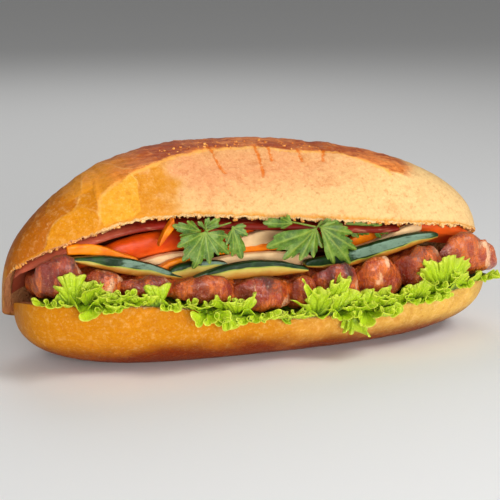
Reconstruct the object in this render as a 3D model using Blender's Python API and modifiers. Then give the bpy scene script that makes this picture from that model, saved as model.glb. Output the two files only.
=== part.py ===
"""A banh mi sandwich: one split loaf, hinged along its back and opened by its fillings.

The loaf lies along X with its mouth towards -Y and its flat base at the lowest point. It is shaped
closed, as two half loaves that meet in the cut, and the upper half is then opened about the hinge by
an angle that varies along the loaf. The fillings lie on the cut, one layer on the other:
lettuce, grilled pork, cucumber, pickled carrot and daikon, tomato, coriander, and ham under the lid.
Lengths are in metres. Rows of five values are read at equal steps from the left end to the right.
"""

import math

import bmesh
import bpy
import numpy as np

MM = 0.001

# Loaf
WIDTH = 76 * MM
LOWER_LENGTH, LOWER_CENTRE = 211 * MM, 0.5 * MM
UPPER_LENGTH, UPPER_CENTRE = 215 * MM, -2 * MM
LIP_HEIGHT = (32, 29.5, 20, 21, 26)  # of the cut at the front, in mm
BACK_HEIGHT = (10, 10, 11, 11, 12)  # of the cut at the back, in mm
CROWN = (35, 43.5, 51, 49.3, 45.5)  # of the upper half above the cut, in mm
OPENING = (18.5, 31.5, 36.5, 30.4, 23.5)  # of the upper half about the hinge, in degrees
CUT_CURVE = 2.2  # the cut stays high at the front and falls towards the back
HINGE_INSET = 7 * MM
BULGE_RISE = 5 * MM  # the upper half is widest this far above its cut
BULGE_RADIUS = 13 * MM
HOLLOW = 8 * MM
HOLLOW_POWERS = (4, 8)  # the hollow is flat inside and ends sharply, across and along the loaf
BASE_OVERLAP = 1.08  # how far the round belly passes the table before it is flattened on it
PLAN_POWER, SECTION_POWER, BELLY_POWER = 3.0, 2.5, 2.3  # superellipses: 2 is round, more is boxier
LOWER_END_POWERS, UPPER_END_POWER = (3.4, 3.0), 2.3  # the lower half's are left and right
LEFT_DROOP, END_ROUNDING = 12 * MM, 7
STATIONS, CRUST_STEPS, CUT_STEPS = 27, 18, 11

# Fillings
GAP = 0.35 * MM
HAM_THICKNESS, HAM_GAP = 2.0 * MM, 0.9 * MM
HAM_FROM, HAM_TO = -0.96, 0.56  # along the lid, from -1 to 1
HAM_FRONT, HAM_BACK = -0.92, 0.45  # across the lid, from -1 (lip) to 1 (back)
LEAF_THICKNESS = 1.2 * MM
# grilled pork from left to right: (left, right, crest, shoulder, back), all in mm, the last three being
# heights: of the front edge, just behind it, and at the back
PORK = (
    (-100, -83, 52, 46, 28),
    (-82, -67, 45, 42, 36.5),
    (-67, -46, 42, 39, 37.5),
    (-46, -20, 41, 37.5, 36),
    (-20, 4, 38.5, 35.5, 32),
    (4, 17, 37, 34, 30),
    (17, 37, 43, 37.5, 29.5),
    (37, 57, 42, 36.5, 27),
    (57, 79, 44.5, 41, 29),
    (79, 108, 46, 37.5, 21.5),
)
PORK_LEAN = -0.22  # sideways shift for each unit of height
PORK_INSET, PORK_BACK, PORK_END = 1.2 * MM, 16 * MM, 0.86
CREST_DEPTH, CREST_SLOPE = 3 * MM, 5 * MM
PORK_POWERS = (2.3, 4, 4)

# name: (start, end, height, depth, bow, tips) with start and end as (x, y, z), all in mm, and tips as
# the shares of the height that are left at the start and at the end
BATONS = {
    "cucumber_1": ((-85, -22.3, 49.8), (-43, -22.6, 41.8), 6, 4.4, 0.6, (0.3, 0.3)),
    "cucumber_2": ((-42.2, -22.3, 43.3), (-19.5, -22.3, 42.7), 6.7, 4.4, 0.5, (0.9, 0.7)),
    "cucumber_3": ((-36.5, -27.4, 40.4), (11.8, -27.4, 40.2), 6.9, 4.4, 2, (0.4, 0.4)),
    "cucumber_4": ((12.3, -25.4, 41.1), (74, -24.4, 47.7), 7.3, 4.6, -1.1, (0.6, 0.4)),
    "carrot_1": ((-87, -16.8, 51.6), (-58, -17, 45), 4.8, 4.2, 1.5, (0.8, 0.4)),
    "carrot_2": ((-49.5, -18.7, 51.4), (-43, -18.7, 60), 4.6, 4, 0.3, (0.4, 1)),
    "carrot_3": ((-50, -17.3, 40.4), (-28, -17.3, 41), 5.4, 4.2, 1.6, (0.4, 0.8)),
    "carrot_4": ((-22, -12.5, 45.4), (22, -12.5, 44.6), 4, 4, 0.4, (1, 0.8)),
    "carrot_5": ((38, -12.7, 43), (66, -12.7, 46.3), 7, 4.2, 0.8, (0.8, 0.5)),
    "daikon_1": ((-16, -12.4, 51.3), (17, -12.4, 50), 6.5, 4.2, 0.3, (0.8, 0.7)),
    "daikon_2": ((-26, -17.4, 40.8), (18, -17.4, 39.2), 6.4, 4.6, 1, (0.7, 0.6)),
    "daikon_3": ((35.3, -17.4, 41.3), (69.6, -17.8, 49.8), 5, 4.2, -1, (0.6, 0.8)),
    "daikon_4": ((-56, -12.5, 42.6), (-28, -12.5, 44), 4, 4.2, 0.5, (0.5, 0.8)),
}
BATON_EDGE = 0.8 * MM
# name: (centre, half length, half height, half depth, roll in degrees), in mm
WEDGES = {
    "tomato_1": ((-54, -3.4, 46.5), 21, 7, 6.2, 4),
    "tomato_2": ((-16, -3.4, 46), 15.5, 6.5, 6.2, -2),
    "tomato_3": ((20, -3.4, 43.4), 18.5, 5.6, 6.2, -4),
    "tomato_4": ((78.6, -7.7, 42.9), 15.3, 4.7, 5.5, -5.2),
}
WEDGE_CUT = -0.45  # of the half height: the flat underside
WEDGE_SLOPE = 0.6  # the wedges fall towards the back

# name: (left, right, folds, phase, reaches, leans): the frill reaches this far past the lip, in mm,
# and leans this much up from level, in degrees
LEAVES = {
    "lettuce_1": (-100, -63, 3, 0.6, (8, 16, 14, 9, 9), (40, 45, -10, -10, 25)),
    "lettuce_2": (-60.5, 0.5, 5, 2.0, (12, 10, 9, 12, 10), (45, 10, 0, 25, -10)),
    "lettuce_3": (3, 49, 4, 5.4, (10, 17, 11, 14, 10), (20, 45, -22, 38, 10)),
    "lettuce_4": (51.5, 104, 4, 0.2, (8, 13, 16, 10, 7), (20, 42, 45, 30, 15)),
}
LEAF_BACK, LEAF_END = 18 * MM, 92 * MM
LEAF_PAST_LIP, LIP_END = 0.9 * MM, 0.9
LEAF_ROWS, FRILL_ROWS, FOLD_STEPS = 4, 2, 5
LEAF_SWING, FOLD_SWAY = 36, 0.25  # of the folds, up in degrees and sideways as a share of the reach

# name: (centre in mm, radius in mm, stretch along X, turn in degrees, lobes)
SPRIGS = {
    "coriander_1": ((-28, -28, 51.6), 12.5, 1.2, 0, 5),
    "coriander_2": ((14, -28.6, 49.6), 12, 1.5, 8, 5),
    "coriander_3": ((45, -20.3, 49), 4.8, 1.8, -6, 3),
}
SPRIG_THICKNESS, SPRIG_SLOPE, SPRIG_HEIGHT = 0.7 * MM, 0.48, 0.75
LOBE_DEPTH, LOBE_POWER, NOTCH_DEPTH = 0.45, 0.7, 0.12

COLOURS = {
    "crust": ((0.72, 0.34, 0.07), 0.5),
    "ham": ((0.42, 0.10, 0.06), 0.55),
    "pork": ((0.36, 0.09, 0.04), 0.35),
    "leaf": ((0.33, 0.55, 0.04), 0.45),
    "cucumber": ((0.20, 0.33, 0.08), 0.3),
    "carrot": ((0.85, 0.25, 0.02), 0.35),
    "daikon": ((0.80, 0.62, 0.42), 0.35),
    "tomato": ((0.70, 0.07, 0.02), 0.25),
    "herb": ((0.13, 0.27, 0.03), 0.5),
}


def clear_scene():
    for thing in list(bpy.data.objects):
        bpy.data.objects.remove(thing)


def material(name):
    colour, roughness = COLOURS[name]
    made = bpy.data.materials.get(name) or bpy.data.materials.new(name)
    made.use_nodes = True
    shader = made.node_tree.nodes["Principled BSDF"]
    shader.inputs["Base Color"].default_value = (*colour, 1)
    shader.inputs["Roughness"].default_value = roughness
    shader.inputs["Metallic"].default_value = 0
    return made


def collection(name):
    made = bpy.data.collections.new(name)
    bpy.context.scene.collection.children.link(made)
    return made


# ---------------------------------------------------------------- the loaf's surfaces


def along(values, s):
    """A smooth curve through values at equal steps, read at s from -1 to 1 (Catmull-Rom)."""
    v = np.array([2 * values[0] - values[1], *values, 2 * values[-1] - values[-2]], float)
    place = (np.clip(s, -1, 1) + 1) / 2 * (len(values) - 1)
    i = np.clip(place.astype(int), 0, len(values) - 2)
    f = place - i
    a, b, c, d = v[i], v[i + 1], v[i + 2], v[i + 3]
    return 0.5 * (2 * b + (c - a) * f + (2 * a - 5 * b + 4 * c - d) * f**2 + (3 * b - a - 3 * c + d) * f**3)


def taper(s, power):
    """Superellipse quadrant: 1 in the middle, 0 at the ends."""
    return np.clip(1 - np.abs(s) ** power, 0, 1) ** (1 / power)


def signed_power(value, power):
    return np.sign(value) * np.abs(value) ** power


def half_width(s):
    return WIDTH / 2 * taper(s, PLAN_POWER)


def cut_height(s, across):
    """Height of the knife's cut in the closed loaf, at across from -1 (front) to 1 (back)."""
    lip, back = along(LIP_HEIGHT, s) * MM, along(BACK_HEIGHT, s) * MM
    return lip - (lip - back) * np.clip(0.5 + across / 2, 0, 1) ** CUT_CURVE


def floor_height(x, y):
    """Height of the lower half's cut face."""
    return cut_height((x - LOWER_CENTRE) / (LOWER_LENGTH / 2), y / (WIDTH / 2))


def lid_height(s, across):
    """Height of the upper half's cut edge: at the ends it dives with the crust, most on the left."""
    droop = LEFT_DROOP * (1 - taper(s, END_ROUNDING)) * (s < 0)
    return cut_height(s, across * taper(s, END_ROUNDING)) - droop


def opened(s, y, z):
    """Turns a point of the closed upper half about the hinge."""
    hinge_y = WIDTH / 2 - HINGE_INSET
    hinge_z = cut_height(s, hinge_y / (WIDTH / 2))
    angle = np.radians(along(OPENING, s))
    dy, dz = y - hinge_y, z - hinge_z
    return (
        hinge_y + dy * np.cos(angle) + dz * np.sin(angle),
        hinge_z - dy * np.sin(angle) + dz * np.cos(angle),
    )


def hollow_face(s, across, below=0.0):
    """A point of the upper half's hollowed cut face, at across from -1 (lip) to 1 (back), opened."""
    lip_share = 1 - (BULGE_RISE / BULGE_RADIUS) ** SECTION_POWER
    dish = HOLLOW * (1 - np.abs(across) ** HOLLOW_POWERS[0]) * (1 - np.abs(s) ** HOLLOW_POWERS[1])
    across = across * lip_share ** (1 / SECTION_POWER)
    return opened(s, across * half_width(s), lid_height(s, across) + dish - below)


def lower_rings():
    """Belly from the front lip to the back, flattened on the table, then the cut face to the lip."""
    s = np.sin(np.linspace(-math.pi / 2, math.pi / 2, STATIONS))[:, None]
    turn = np.linspace(0, math.pi, CRUST_STEPS)[None]
    y = -half_width(s) * signed_power(np.cos(turn), 2 / BELLY_POWER)
    x = LOWER_CENTRE + LOWER_LENGTH / 2 * s + 0 * y
    ends = np.where(s < 0, taper(s, LOWER_END_POWERS[0]), taper(s, LOWER_END_POWERS[1]))
    drop = BASE_OVERLAP * ends * np.sin(turn) ** (2 / BELLY_POWER)
    belly = np.stack([x, y, np.maximum(floor_height(x, y) * (1 - drop), 0)], -1)
    y = half_width(s) * np.linspace(1, -1, CUT_STEPS)[None, 1:-1]
    x = LOWER_CENTRE + LOWER_LENGTH / 2 * s + 0 * y
    return np.hstack([belly, np.stack([x, y, floor_height(x, y)], -1)])


def upper_rings():
    """Crust from the front lip over the crown to the back, then the hollowed cut face to the lip."""
    s = np.sin(np.linspace(-math.pi / 2, math.pi / 2, STATIONS))[:, None]
    start = math.asin((BULGE_RISE / BULGE_RADIUS) ** (SECTION_POWER / 2))
    turn = np.linspace(-start, math.pi + start, CRUST_STEPS)[None]
    across = -signed_power(np.cos(turn), 2 / SECTION_POWER)
    rise = signed_power(np.sin(turn), 2 / SECTION_POWER)
    crown = along(CROWN, s) * MM - BULGE_RISE
    swell = BULGE_RISE + np.where(rise > 0, crown, BULGE_RADIUS) * rise
    z = lid_height(s, across) + swell * taper(s, UPPER_END_POWER)
    y, z = opened(s, across * half_width(s), z)
    face_y, face_z = hollow_face(s, np.linspace(1, -1, CUT_STEPS)[None, 1:-1])
    y, z = np.hstack([y, face_y]), np.hstack([z, face_z])
    return np.stack([UPPER_CENTRE + UPPER_LENGTH / 2 * s + 0 * y, y, z], -1)


def loft(name, rings):
    """A closed mesh through rings of points. The first and last ring are each a single point."""
    mesh = bmesh.new()
    first = mesh.verts.new(rings[0].mean(0))
    last = mesh.verts.new(rings[-1].mean(0))
    loops = [[mesh.verts.new(p) for p in ring] for ring in rings[1:-1]]
    count = len(loops[0])
    for k in range(count):
        n = (k + 1) % count
        mesh.faces.new((first, loops[0][n], loops[0][k]))
        mesh.faces.new((last, loops[-1][k], loops[-1][n]))
        for one, two in zip(loops, loops[1:]):
            mesh.faces.new((one[k], one[n], two[n], two[k]))
    bmesh.ops.recalc_face_normals(mesh, faces=mesh.faces)
    return finished(name, mesh)


def finished(name, mesh, smooth=40):
    """An object from a bmesh, shaded smooth up to the given angle."""
    data = bpy.data.meshes.new(name)
    mesh.to_mesh(data)
    mesh.free()
    data.shade_smooth()
    data.set_sharp_from_angle(angle=math.radians(smooth))
    return bpy.data.objects.new(name, data)


def reshape(mesh, formula):
    """Moves all vertices of a bmesh: formula takes and gives an array of points."""
    verts = list(mesh.verts)
    moved = formula(np.array([v.co for v in verts]))
    for vert, place in zip(verts, moved):
        vert.co = place


# ---------------------------------------------------------------- the pieces


def bread(cutters):
    upper = loft("upper_half", upper_rings())
    upper.hide_render = True
    upper.display_type = "WIRE"
    cutters.objects.link(upper)
    loaf = loft("bread_roll", lower_rings())
    join = loaf.modifiers.new("hinge", "BOOLEAN")
    join.operation = "UNION"
    join.object = upper
    return loaf


def ham():
    """A slice that lines the lid, a little short of its lip."""
    mesh = bmesh.new()
    bmesh.ops.create_grid(mesh, x_segments=18, y_segments=5, size=1)

    def lay(points):
        s = HAM_FROM + (HAM_TO - HAM_FROM) * (points[:, 0] + 1) / 2
        across = HAM_FRONT + (HAM_BACK - HAM_FRONT) * (points[:, 1] + 1) / 2
        y, z = hollow_face(s, across, HAM_GAP + HAM_THICKNESS / 2)
        return np.stack([UPPER_CENTRE + UPPER_LENGTH / 2 * s, y, z], -1)

    reshape(mesh, lay)
    slice_ = finished("ham", mesh)
    wall = slice_.modifiers.new("thickness", "SOLIDIFY")
    wall.thickness = HAM_THICKNESS
    wall.offset = 0
    return slice_


def pork(number):
    """One lump of grilled pork on the lettuce: a rounded block, highest along its front."""
    left, right, crest, shoulder, back = (value * MM for value in PORK[number])
    mesh = bmesh.new()
    bmesh.ops.create_uvsphere(mesh, u_segments=12, v_segments=9, radius=1)

    def press(points):
        powers = np.array(PORK_POWERS)
        reach = (np.abs(points) ** powers).sum(1, keepdims=True)
        block = points / reach ** (1 / powers)
        x = (left + right) / 2 + ((right - left) / 2 - GAP) * block[:, 0]
        front = -half_width(np.clip(x / (LOWER_LENGTH / 2), -PORK_END, PORK_END)) + PORK_INSET
        deep = (block[:, 1] + 1) / 2
        y = front + (PORK_BACK - front) * deep
        bottom = floor_height(x, y) + LEAF_THICKNESS + 2 * GAP
        slope = np.clip((y - front - CREST_DEPTH) / CREST_SLOPE, 0, 1)
        top = crest + (shoulder - crest) * slope + (back - shoulder) * deep**2
        z = bottom + (top - bottom) * (block[:, 2] + 1) / 2
        return np.stack([x + PORK_LEAN * (z - bottom), y, z], -1)

    reshape(mesh, press)
    return finished(f"pork_{number + 1}", mesh)


def baton(name):
    """A knife-cut strip from start to end, bowed upwards, with narrower ends."""
    start, end, height, depth, bow, tips = BATONS[name]
    start, end = np.array(start) * MM, np.array(end) * MM
    mesh = bmesh.new()
    bmesh.ops.create_cube(mesh, size=1)
    lengthwise = [e for e in mesh.edges if abs(e.verts[0].co.x - e.verts[1].co.x) > 0.5]
    bmesh.ops.subdivide_edges(mesh, edges=lengthwise, cuts=3, use_grid_fill=True)

    def shape(points):
        t = points[:, 0:1] + 0.5
        tip = np.where(t < 0.5, tips[0], tips[1])
        narrow = 1 - (1 - tip) * (2 * t - 1) ** 2
        middle = start + (end - start) * t
        middle[:, 2:] += bow * MM * np.sin(math.pi * t)
        offset = np.hstack([0 * t, points[:, 1:2] * depth * MM, points[:, 2:] * height * MM * narrow])
        return middle + offset

    reshape(mesh, shape)
    strip = finished(name, mesh)
    edge = strip.modifiers.new("edges", "BEVEL")
    edge.width = BATON_EDGE
    edge.segments = 1
    return strip


def wedge(name):
    """A tomato wedge: part of an ellipsoid with its underside cut flat."""
    centre, length, height, depth, roll = WEDGES[name]
    mesh = bmesh.new()
    bmesh.ops.create_uvsphere(mesh, u_segments=12, v_segments=8, radius=1)
    everything = mesh.verts[:] + mesh.edges[:] + mesh.faces[:]
    bmesh.ops.bisect_plane(
        mesh, geom=everything, plane_co=(0, 0, WEDGE_CUT), plane_no=(0, 0, -1), clear_outer=True
    )
    bmesh.ops.holes_fill(mesh, edges=[e for e in mesh.edges if e.is_boundary])
    bmesh.ops.recalc_face_normals(mesh, faces=mesh.faces)

    def shape(points):
        sized = points * np.array([length, depth, height]) * MM
        tilt = math.radians(roll)
        x = sized[:, 0] * math.cos(tilt) - sized[:, 2] * math.sin(tilt)
        z = sized[:, 0] * math.sin(tilt) + sized[:, 2] * math.cos(tilt)
        z -= WEDGE_SLOPE * sized[:, 1]
        return np.stack([x, sized[:, 1], z], -1) + np.array(centre) * MM

    reshape(mesh, shape)
    return finished(name, mesh)


def lettuce(name):
    """A leaf that lies on the cut, with a frill that stands up or hangs over the lip in folds."""
    left, right, folds, phase, reaches, leans = LEAVES[name]
    mesh = bmesh.new()
    rows = LEAF_ROWS + FRILL_ROWS
    bmesh.ops.create_grid(mesh, x_segments=folds * FOLD_STEPS, y_segments=rows, size=1)

    def lay(points):
        u, row = points[:, 0], (points[:, 1] + 1) / 2 * rows
        x = (left + right + (right - left) * u) / 2 * MM
        inside = np.clip(1 - row / LEAF_ROWS, 0, 1)
        x += (np.clip(x, -LEAF_END, LEAF_END) - x) * inside
        lip = -half_width(np.clip(x / (LOWER_LENGTH / 2), -LIP_END, LIP_END)) - LEAF_PAST_LIP
        y = lip + (LEAF_BACK - lip) * inside
        z = floor_height(x, y) + GAP + LEAF_THICKNESS / 2
        turn = math.pi * folds * u + phase
        reach = along(reaches, u) * MM * np.clip((row - LEAF_ROWS) / FRILL_ROWS, 0, 1)
        lean = np.radians(along(leans, u) + LEAF_SWING * np.sin(turn))
        x += FOLD_SWAY * reach * np.cos(turn) * (1 - u**2)
        return np.stack([x, y - reach * np.cos(lean), z + reach * np.sin(lean)], -1)

    reshape(mesh, lay)
    leaf = finished(name, mesh)
    wall = leaf.modifiers.new("thickness", "SOLIDIFY")
    wall.thickness = LEAF_THICKNESS
    wall.offset = 0
    return leaf


def coriander(name):
    """A lobed leaf hanging from under the lid, its outline a polar curve with notched lobes."""
    centre, radius, stretch, turn, lobes = SPRIGS[name]
    steps = 12 * lobes
    outline = []
    for k in range(steps):
        angle = 2 * math.pi * k / steps
        lobe = 1 - LOBE_DEPTH * (1 - abs(math.cos(lobes * angle / 2)) ** LOBE_POWER)
        notch = 1 - NOTCH_DEPTH * abs(math.sin(3 * lobes * angle / 2))
        reach = radius * MM * lobe * notch
        outline.append((reach * stretch * math.sin(angle), -SPRIG_HEIGHT * reach * math.cos(angle)))
    curve = bpy.data.curves.new(name, "CURVE")
    curve.dimensions = "2D"
    curve.fill_mode = "BOTH"
    curve.extrude = SPRIG_THICKNESS / 2
    spline = curve.splines.new("POLY")
    spline.points.add(steps - 1)
    for point, (x, z) in zip(spline.points, outline):
        point.co = (x, z, 0, 1)
    spline.use_cyclic_u = True
    flat = bpy.data.objects.new(name + "_outline", curve)
    bpy.context.scene.collection.objects.link(flat)
    graph = bpy.context.evaluated_depsgraph_get()
    data = bpy.data.meshes.new_from_object(flat.evaluated_get(graph))
    bpy.data.objects.remove(flat)
    mesh = bmesh.new()
    mesh.from_mesh(data)
    bpy.data.meshes.remove(data)
    bmesh.ops.remove_doubles(mesh, verts=mesh.verts, dist=0.01 * MM)

    def hang(points):
        tilt = math.radians(turn)
        x = points[:, 0] * math.cos(tilt) - points[:, 1] * math.sin(tilt)
        z = points[:, 0] * math.sin(tilt) + points[:, 1] * math.cos(tilt)
        return np.stack([x, SPRIG_SLOPE * z - points[:, 2], z], -1) + np.array(centre) * MM

    reshape(mesh, hang)
    return finished(name, mesh, smooth=30)


def centre_on_base(things):
    """Moves the whole so that the origin is the middle of its box, at its lowest point."""
    bpy.context.view_layer.update()
    graph = bpy.context.evaluated_depsgraph_get()
    corners = np.array([c[:] for t in things for c in t.evaluated_get(graph).bound_box])
    low, high = corners.min(0), corners.max(0)
    shift = -np.array([(low[0] + high[0]) / 2, (low[1] + high[1]) / 2, low[2]])
    for thing in bpy.context.scene.objects:
        thing.location = shift


def main():
    clear_scene()
    sandwich = collection("banh_mi_sandwich")
    cutters = collection("cutters")
    pieces = [(bread(cutters), "crust"), (ham(), "ham")]
    pieces += [(pork(k), "pork") for k in range(len(PORK))]
    pieces += [(baton(name), name.split("_")[0]) for name in BATONS]
    pieces += [(wedge(name), "tomato") for name in WEDGES]
    pieces += [(lettuce(name), "leaf") for name in LEAVES]
    pieces += [(coriander(name), "herb") for name in SPRIGS]
    for thing, finish in pieces:
        sandwich.objects.link(thing)
        thing.data.materials.append(material(finish))
    centre_on_base([thing for thing, _ in pieces])


main()
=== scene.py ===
"""The looks of a banh mi sandwich, laid out as a Blender add-on.

The sandwich is a split loaf, open towards -Y, with ham under its lid and lettuce, grilled pork,
cucumber, pickled carrot and daikon, tomato and coriander in its mouth. Every piece is a surface worked
out with numpy on a grid: rings of points are placed along the piece, and a loft closes them into a part.
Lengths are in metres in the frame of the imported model; the loaf's own formulas are in the loaf's frame,
where x runs along it from its middle and its base is at z = 0, and PLACE carries them over.
"""

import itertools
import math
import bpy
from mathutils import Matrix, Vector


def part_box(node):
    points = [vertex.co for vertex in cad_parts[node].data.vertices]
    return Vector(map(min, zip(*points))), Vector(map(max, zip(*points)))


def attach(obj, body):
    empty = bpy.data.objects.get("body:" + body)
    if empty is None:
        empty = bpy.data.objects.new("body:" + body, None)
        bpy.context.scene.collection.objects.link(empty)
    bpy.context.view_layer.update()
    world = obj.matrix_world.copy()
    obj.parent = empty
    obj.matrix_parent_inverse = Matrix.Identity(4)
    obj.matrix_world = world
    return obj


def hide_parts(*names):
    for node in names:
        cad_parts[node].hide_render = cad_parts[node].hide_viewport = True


bl_info = {
    "name": "Banh mi sandwich",
    "version": (1, 0, 0),
    "blender": (4, 5, 0),
    "location": "View3D > Sidebar > Banh mi",
    "description": "Builds the crust, fillings and stage of a banh mi sandwich",
    "category": "Add Mesh",
}

from functools import partialmethod

import bmesh
import bpy
import numpy as np
from bpy.props import FloatProperty, FloatVectorProperty, IntProperty, PointerProperty
from mathutils import Euler, Vector

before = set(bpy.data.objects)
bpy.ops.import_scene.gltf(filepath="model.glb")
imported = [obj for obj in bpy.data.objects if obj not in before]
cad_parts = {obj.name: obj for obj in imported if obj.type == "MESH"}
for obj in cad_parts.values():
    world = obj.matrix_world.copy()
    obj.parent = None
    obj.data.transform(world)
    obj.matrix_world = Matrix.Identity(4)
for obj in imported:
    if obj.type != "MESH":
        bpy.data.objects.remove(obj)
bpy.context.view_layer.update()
MM = 0.001

# ---------------------------------------------------------------- the loaf's form, as in the model

WIDTH = 76 * MM
LOWER_LENGTH, LOWER_CENTRE = 211 * MM, 0.5 * MM
UPPER_LENGTH, UPPER_CENTRE = 215 * MM, -2 * MM
LIP_HEIGHT = (32, 29.5, 20, 21, 26)
BACK_HEIGHT = (10, 10, 11, 11, 12)
CROWN = (35, 43.5, 51, 49.3, 45.5)
OPENING = (18.5, 31.5, 36.5, 30.4, 23.5)
CUT_CURVE = 2.2
HINGE_INSET = 7 * MM
BULGE_RISE, BULGE_RADIUS, HOLLOW = 5 * MM, 13 * MM, 8 * MM
BASE_OVERLAP = 1.08
PLAN_POWER, SECTION_POWER, BELLY_POWER = 3.0, 2.5, 2.3
LOWER_END_POWERS, UPPER_END_POWER = (3.4, 3.0), 2.3
LEFT_DROOP, END_ROUNDING = 12 * MM, 7

PLACE = np.array(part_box("bread_roll")[0]) - np.array([UPPER_CENTRE - UPPER_LENGTH / 2, -WIDTH / 2, 0])


def along(values, s):
    """A smooth curve through values at equal steps, read at s from -1 to 1 (Catmull-Rom)."""
    v = np.array([2 * values[0] - values[1], *values, 2 * values[-1] - values[-2]], float)
    place = (np.clip(s, -1, 1) + 1) / 2 * (len(values) - 1)
    i = np.clip(place.astype(int), 0, len(values) - 2)
    f = place - i
    a, b, c, d = v[i], v[i + 1], v[i + 2], v[i + 3]
    return 0.5 * (2 * b + (c - a) * f + (2 * a - 5 * b + 4 * c - d) * f**2 + (3 * b - a - 3 * c + d) * f**3)


def taper(s, power):
    """Superellipse quadrant (1 - |s|^power)^(1/power): 1 in the middle, 0 at the ends."""
    return np.clip(1 - np.abs(s) ** power, 0, 1) ** (1 / power)


def signed_power(value, power):
    """|value|^power with the sign kept."""
    return np.sign(value) * np.abs(value) ** power


def half_width(s):
    """Half the loaf's width at s, from -1 to 1 along it."""
    return WIDTH / 2 * taper(s, PLAN_POWER)


def cut_height(s, across):
    """Height of the knife's cut: the lip's, falling to the back's as (0.5 + across / 2)^2.2."""
    lip, back = along(LIP_HEIGHT, s) * MM, along(BACK_HEIGHT, s) * MM
    return lip - (lip - back) * np.clip(0.5 + across / 2, 0, 1) ** CUT_CURVE


def floor_height(x, y):
    """Height of the lower half's cut face at x, y in the loaf's frame."""
    return cut_height((x - LOWER_CENTRE) / (LOWER_LENGTH / 2), y / (WIDTH / 2))


def lid_height(s, across):
    """Height of the lid's cut edge while closed: it dives at the ends, most on the left."""
    droop = LEFT_DROOP * (1 - taper(s, END_ROUNDING)) * (s < 0)
    return cut_height(s, across * taper(s, END_ROUNDING)) - droop


def opened(s, y, z):
    """Turns a point of the closed lid about the hinge by the angle that OPENING gives at s."""
    hinge_y = WIDTH / 2 - HINGE_INSET
    hinge_z = cut_height(s, hinge_y / (WIDTH / 2))
    angle = np.radians(along(OPENING, s))
    dy, dz = y - hinge_y, z - hinge_z
    return (
        hinge_y + dy * np.cos(angle) + dz * np.sin(angle),
        hinge_z - dy * np.sin(angle) + dz * np.cos(angle),
    )


def hollow_face(s, across, below=0.0):
    """A point of the lid's hollow face: a dish of (1 - |across|^4) (1 - |s|^8) over the cut, opened."""
    lip_share = 1 - (BULGE_RISE / BULGE_RADIUS) ** SECTION_POWER
    dish = HOLLOW * (1 - np.abs(across) ** 4) * (1 - np.abs(s) ** 8)
    across = across * lip_share ** (1 / SECTION_POWER)
    y, z = opened(s, across * half_width(s), lid_height(s, across) + dish - below)
    return xyz(UPPER_CENTRE + UPPER_LENGTH / 2 * s, y, z)


def lid_crust(s, turn):
    """The lid's crust: turn goes from just under the front lip (0) over the crown to the back (pi)."""
    across = -signed_power(np.cos(turn), 2 / SECTION_POWER)
    rise = signed_power(np.sin(turn), 2 / SECTION_POWER)
    crown = along(CROWN, s) * MM - BULGE_RISE
    swell = BULGE_RISE + np.where(rise > 0, crown, BULGE_RADIUS) * rise
    z = lid_height(s, across) + swell * taper(s, UPPER_END_POWER)
    y, z = opened(s, across * half_width(s), z)
    return xyz(UPPER_CENTRE + UPPER_LENGTH / 2 * s, y, z)


def belly_crust(s, turn):
    """The lower half's crust: turn goes from the front lip (0) under the belly to the back (pi)."""
    y = -half_width(s) * signed_power(np.cos(turn), 2 / BELLY_POWER)
    x = LOWER_CENTRE + LOWER_LENGTH / 2 * s
    ends = np.where(s < 0, *(taper(s, power) for power in LOWER_END_POWERS))
    drop = BASE_OVERLAP * ends * np.sin(turn) ** (2 / BELLY_POWER)
    return xyz(x, y, np.maximum(floor_height(x, y) * (1 - drop), 0))


# ---------------------------------------------------------------- patterns worked out at points


def scattered(cell, seed):
    """Repeatable numbers from 0 to 1 for whole-number cells: the fraction of a large sine."""
    value = np.sin(cell @ np.array([127.1, 311.7, 74.7]) + seed * 17.31) * 43758.5453
    return value - np.floor(value)


def numbered(count, seed):
    """So many different cells for scattered()."""
    return xyz(np.arange(count), seed, 0)


def noise(points, size, seed=0):
    """Smooth noise from -1 to 1: scattered values at the corners of cells of this size, blended."""
    scaled = np.asarray(points) / size
    base = np.floor(scaled)
    f = scaled - base
    f = f * f * f * (f * (f * 6 - 15) + 10)
    total = 0
    for corner in itertools.product((0, 1), repeat=3):
        corner = np.array(corner)
        total = total + np.prod(np.where(corner, f, 1 - f), -1) * scattered(base + corner, seed)
    return 2 * total - 1


def layered(points, size, layers, seed=0, gain=0.5):
    """Sum of noise at size, size / 2, size / 4 ..., each layer gain times as strong as the last."""
    total = sum(gain**k * noise(points, size / 2**k, seed + 7 * k) for k in range(layers))
    return total / sum(gain**k for k in range(layers))


def smooth(low, high, value):
    """0 below low, 1 above high, and t^2 (3 - 2t) between."""
    t = np.clip((value - low) / (high - low), 0, 1)
    return t * t * (3 - 2 * t)


def mound(distance, radius):
    """A bell that is 1 at distance 0 and nearly 0 past radius: exp(-(2 distance / radius)^2)."""
    return np.exp(-((2 * distance / radius) ** 2))


def distance_to(points, path):
    """Shortest distance from each point to the straight pieces of a path."""
    best = np.full(points.shape[:-1], np.inf)
    for a, b in zip(path, path[1:]):
        t = np.clip(((points - a) @ (b - a)) / ((b - a) @ (b - a) + 1e-12), 0, 1)
        best = np.minimum(best, np.linalg.norm(points - a - t[..., None] * (b - a), axis=-1))
    return best


def curve_through(keys, steps):
    """Points of a Catmull-Rom curve through the keys, each coordinate read with along()."""
    s = np.linspace(-1, 1, steps)
    return np.stack([along(tuple(column), s) for column in np.array(keys, float).T], -1)


# ---------------------------------------------------------------- meshes


def xyz(x, y, z):
    """Points from their coordinates, each a number or an array that fits the others."""
    return np.stack(np.broadcast_arrays(x, y, z), -1)


def stations(count):
    """Places along a piece from -1 to 1, one to a row, closer together towards the ends."""
    return np.sin(np.linspace(-math.pi / 2, math.pi / 2, count))[:, None]


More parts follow.
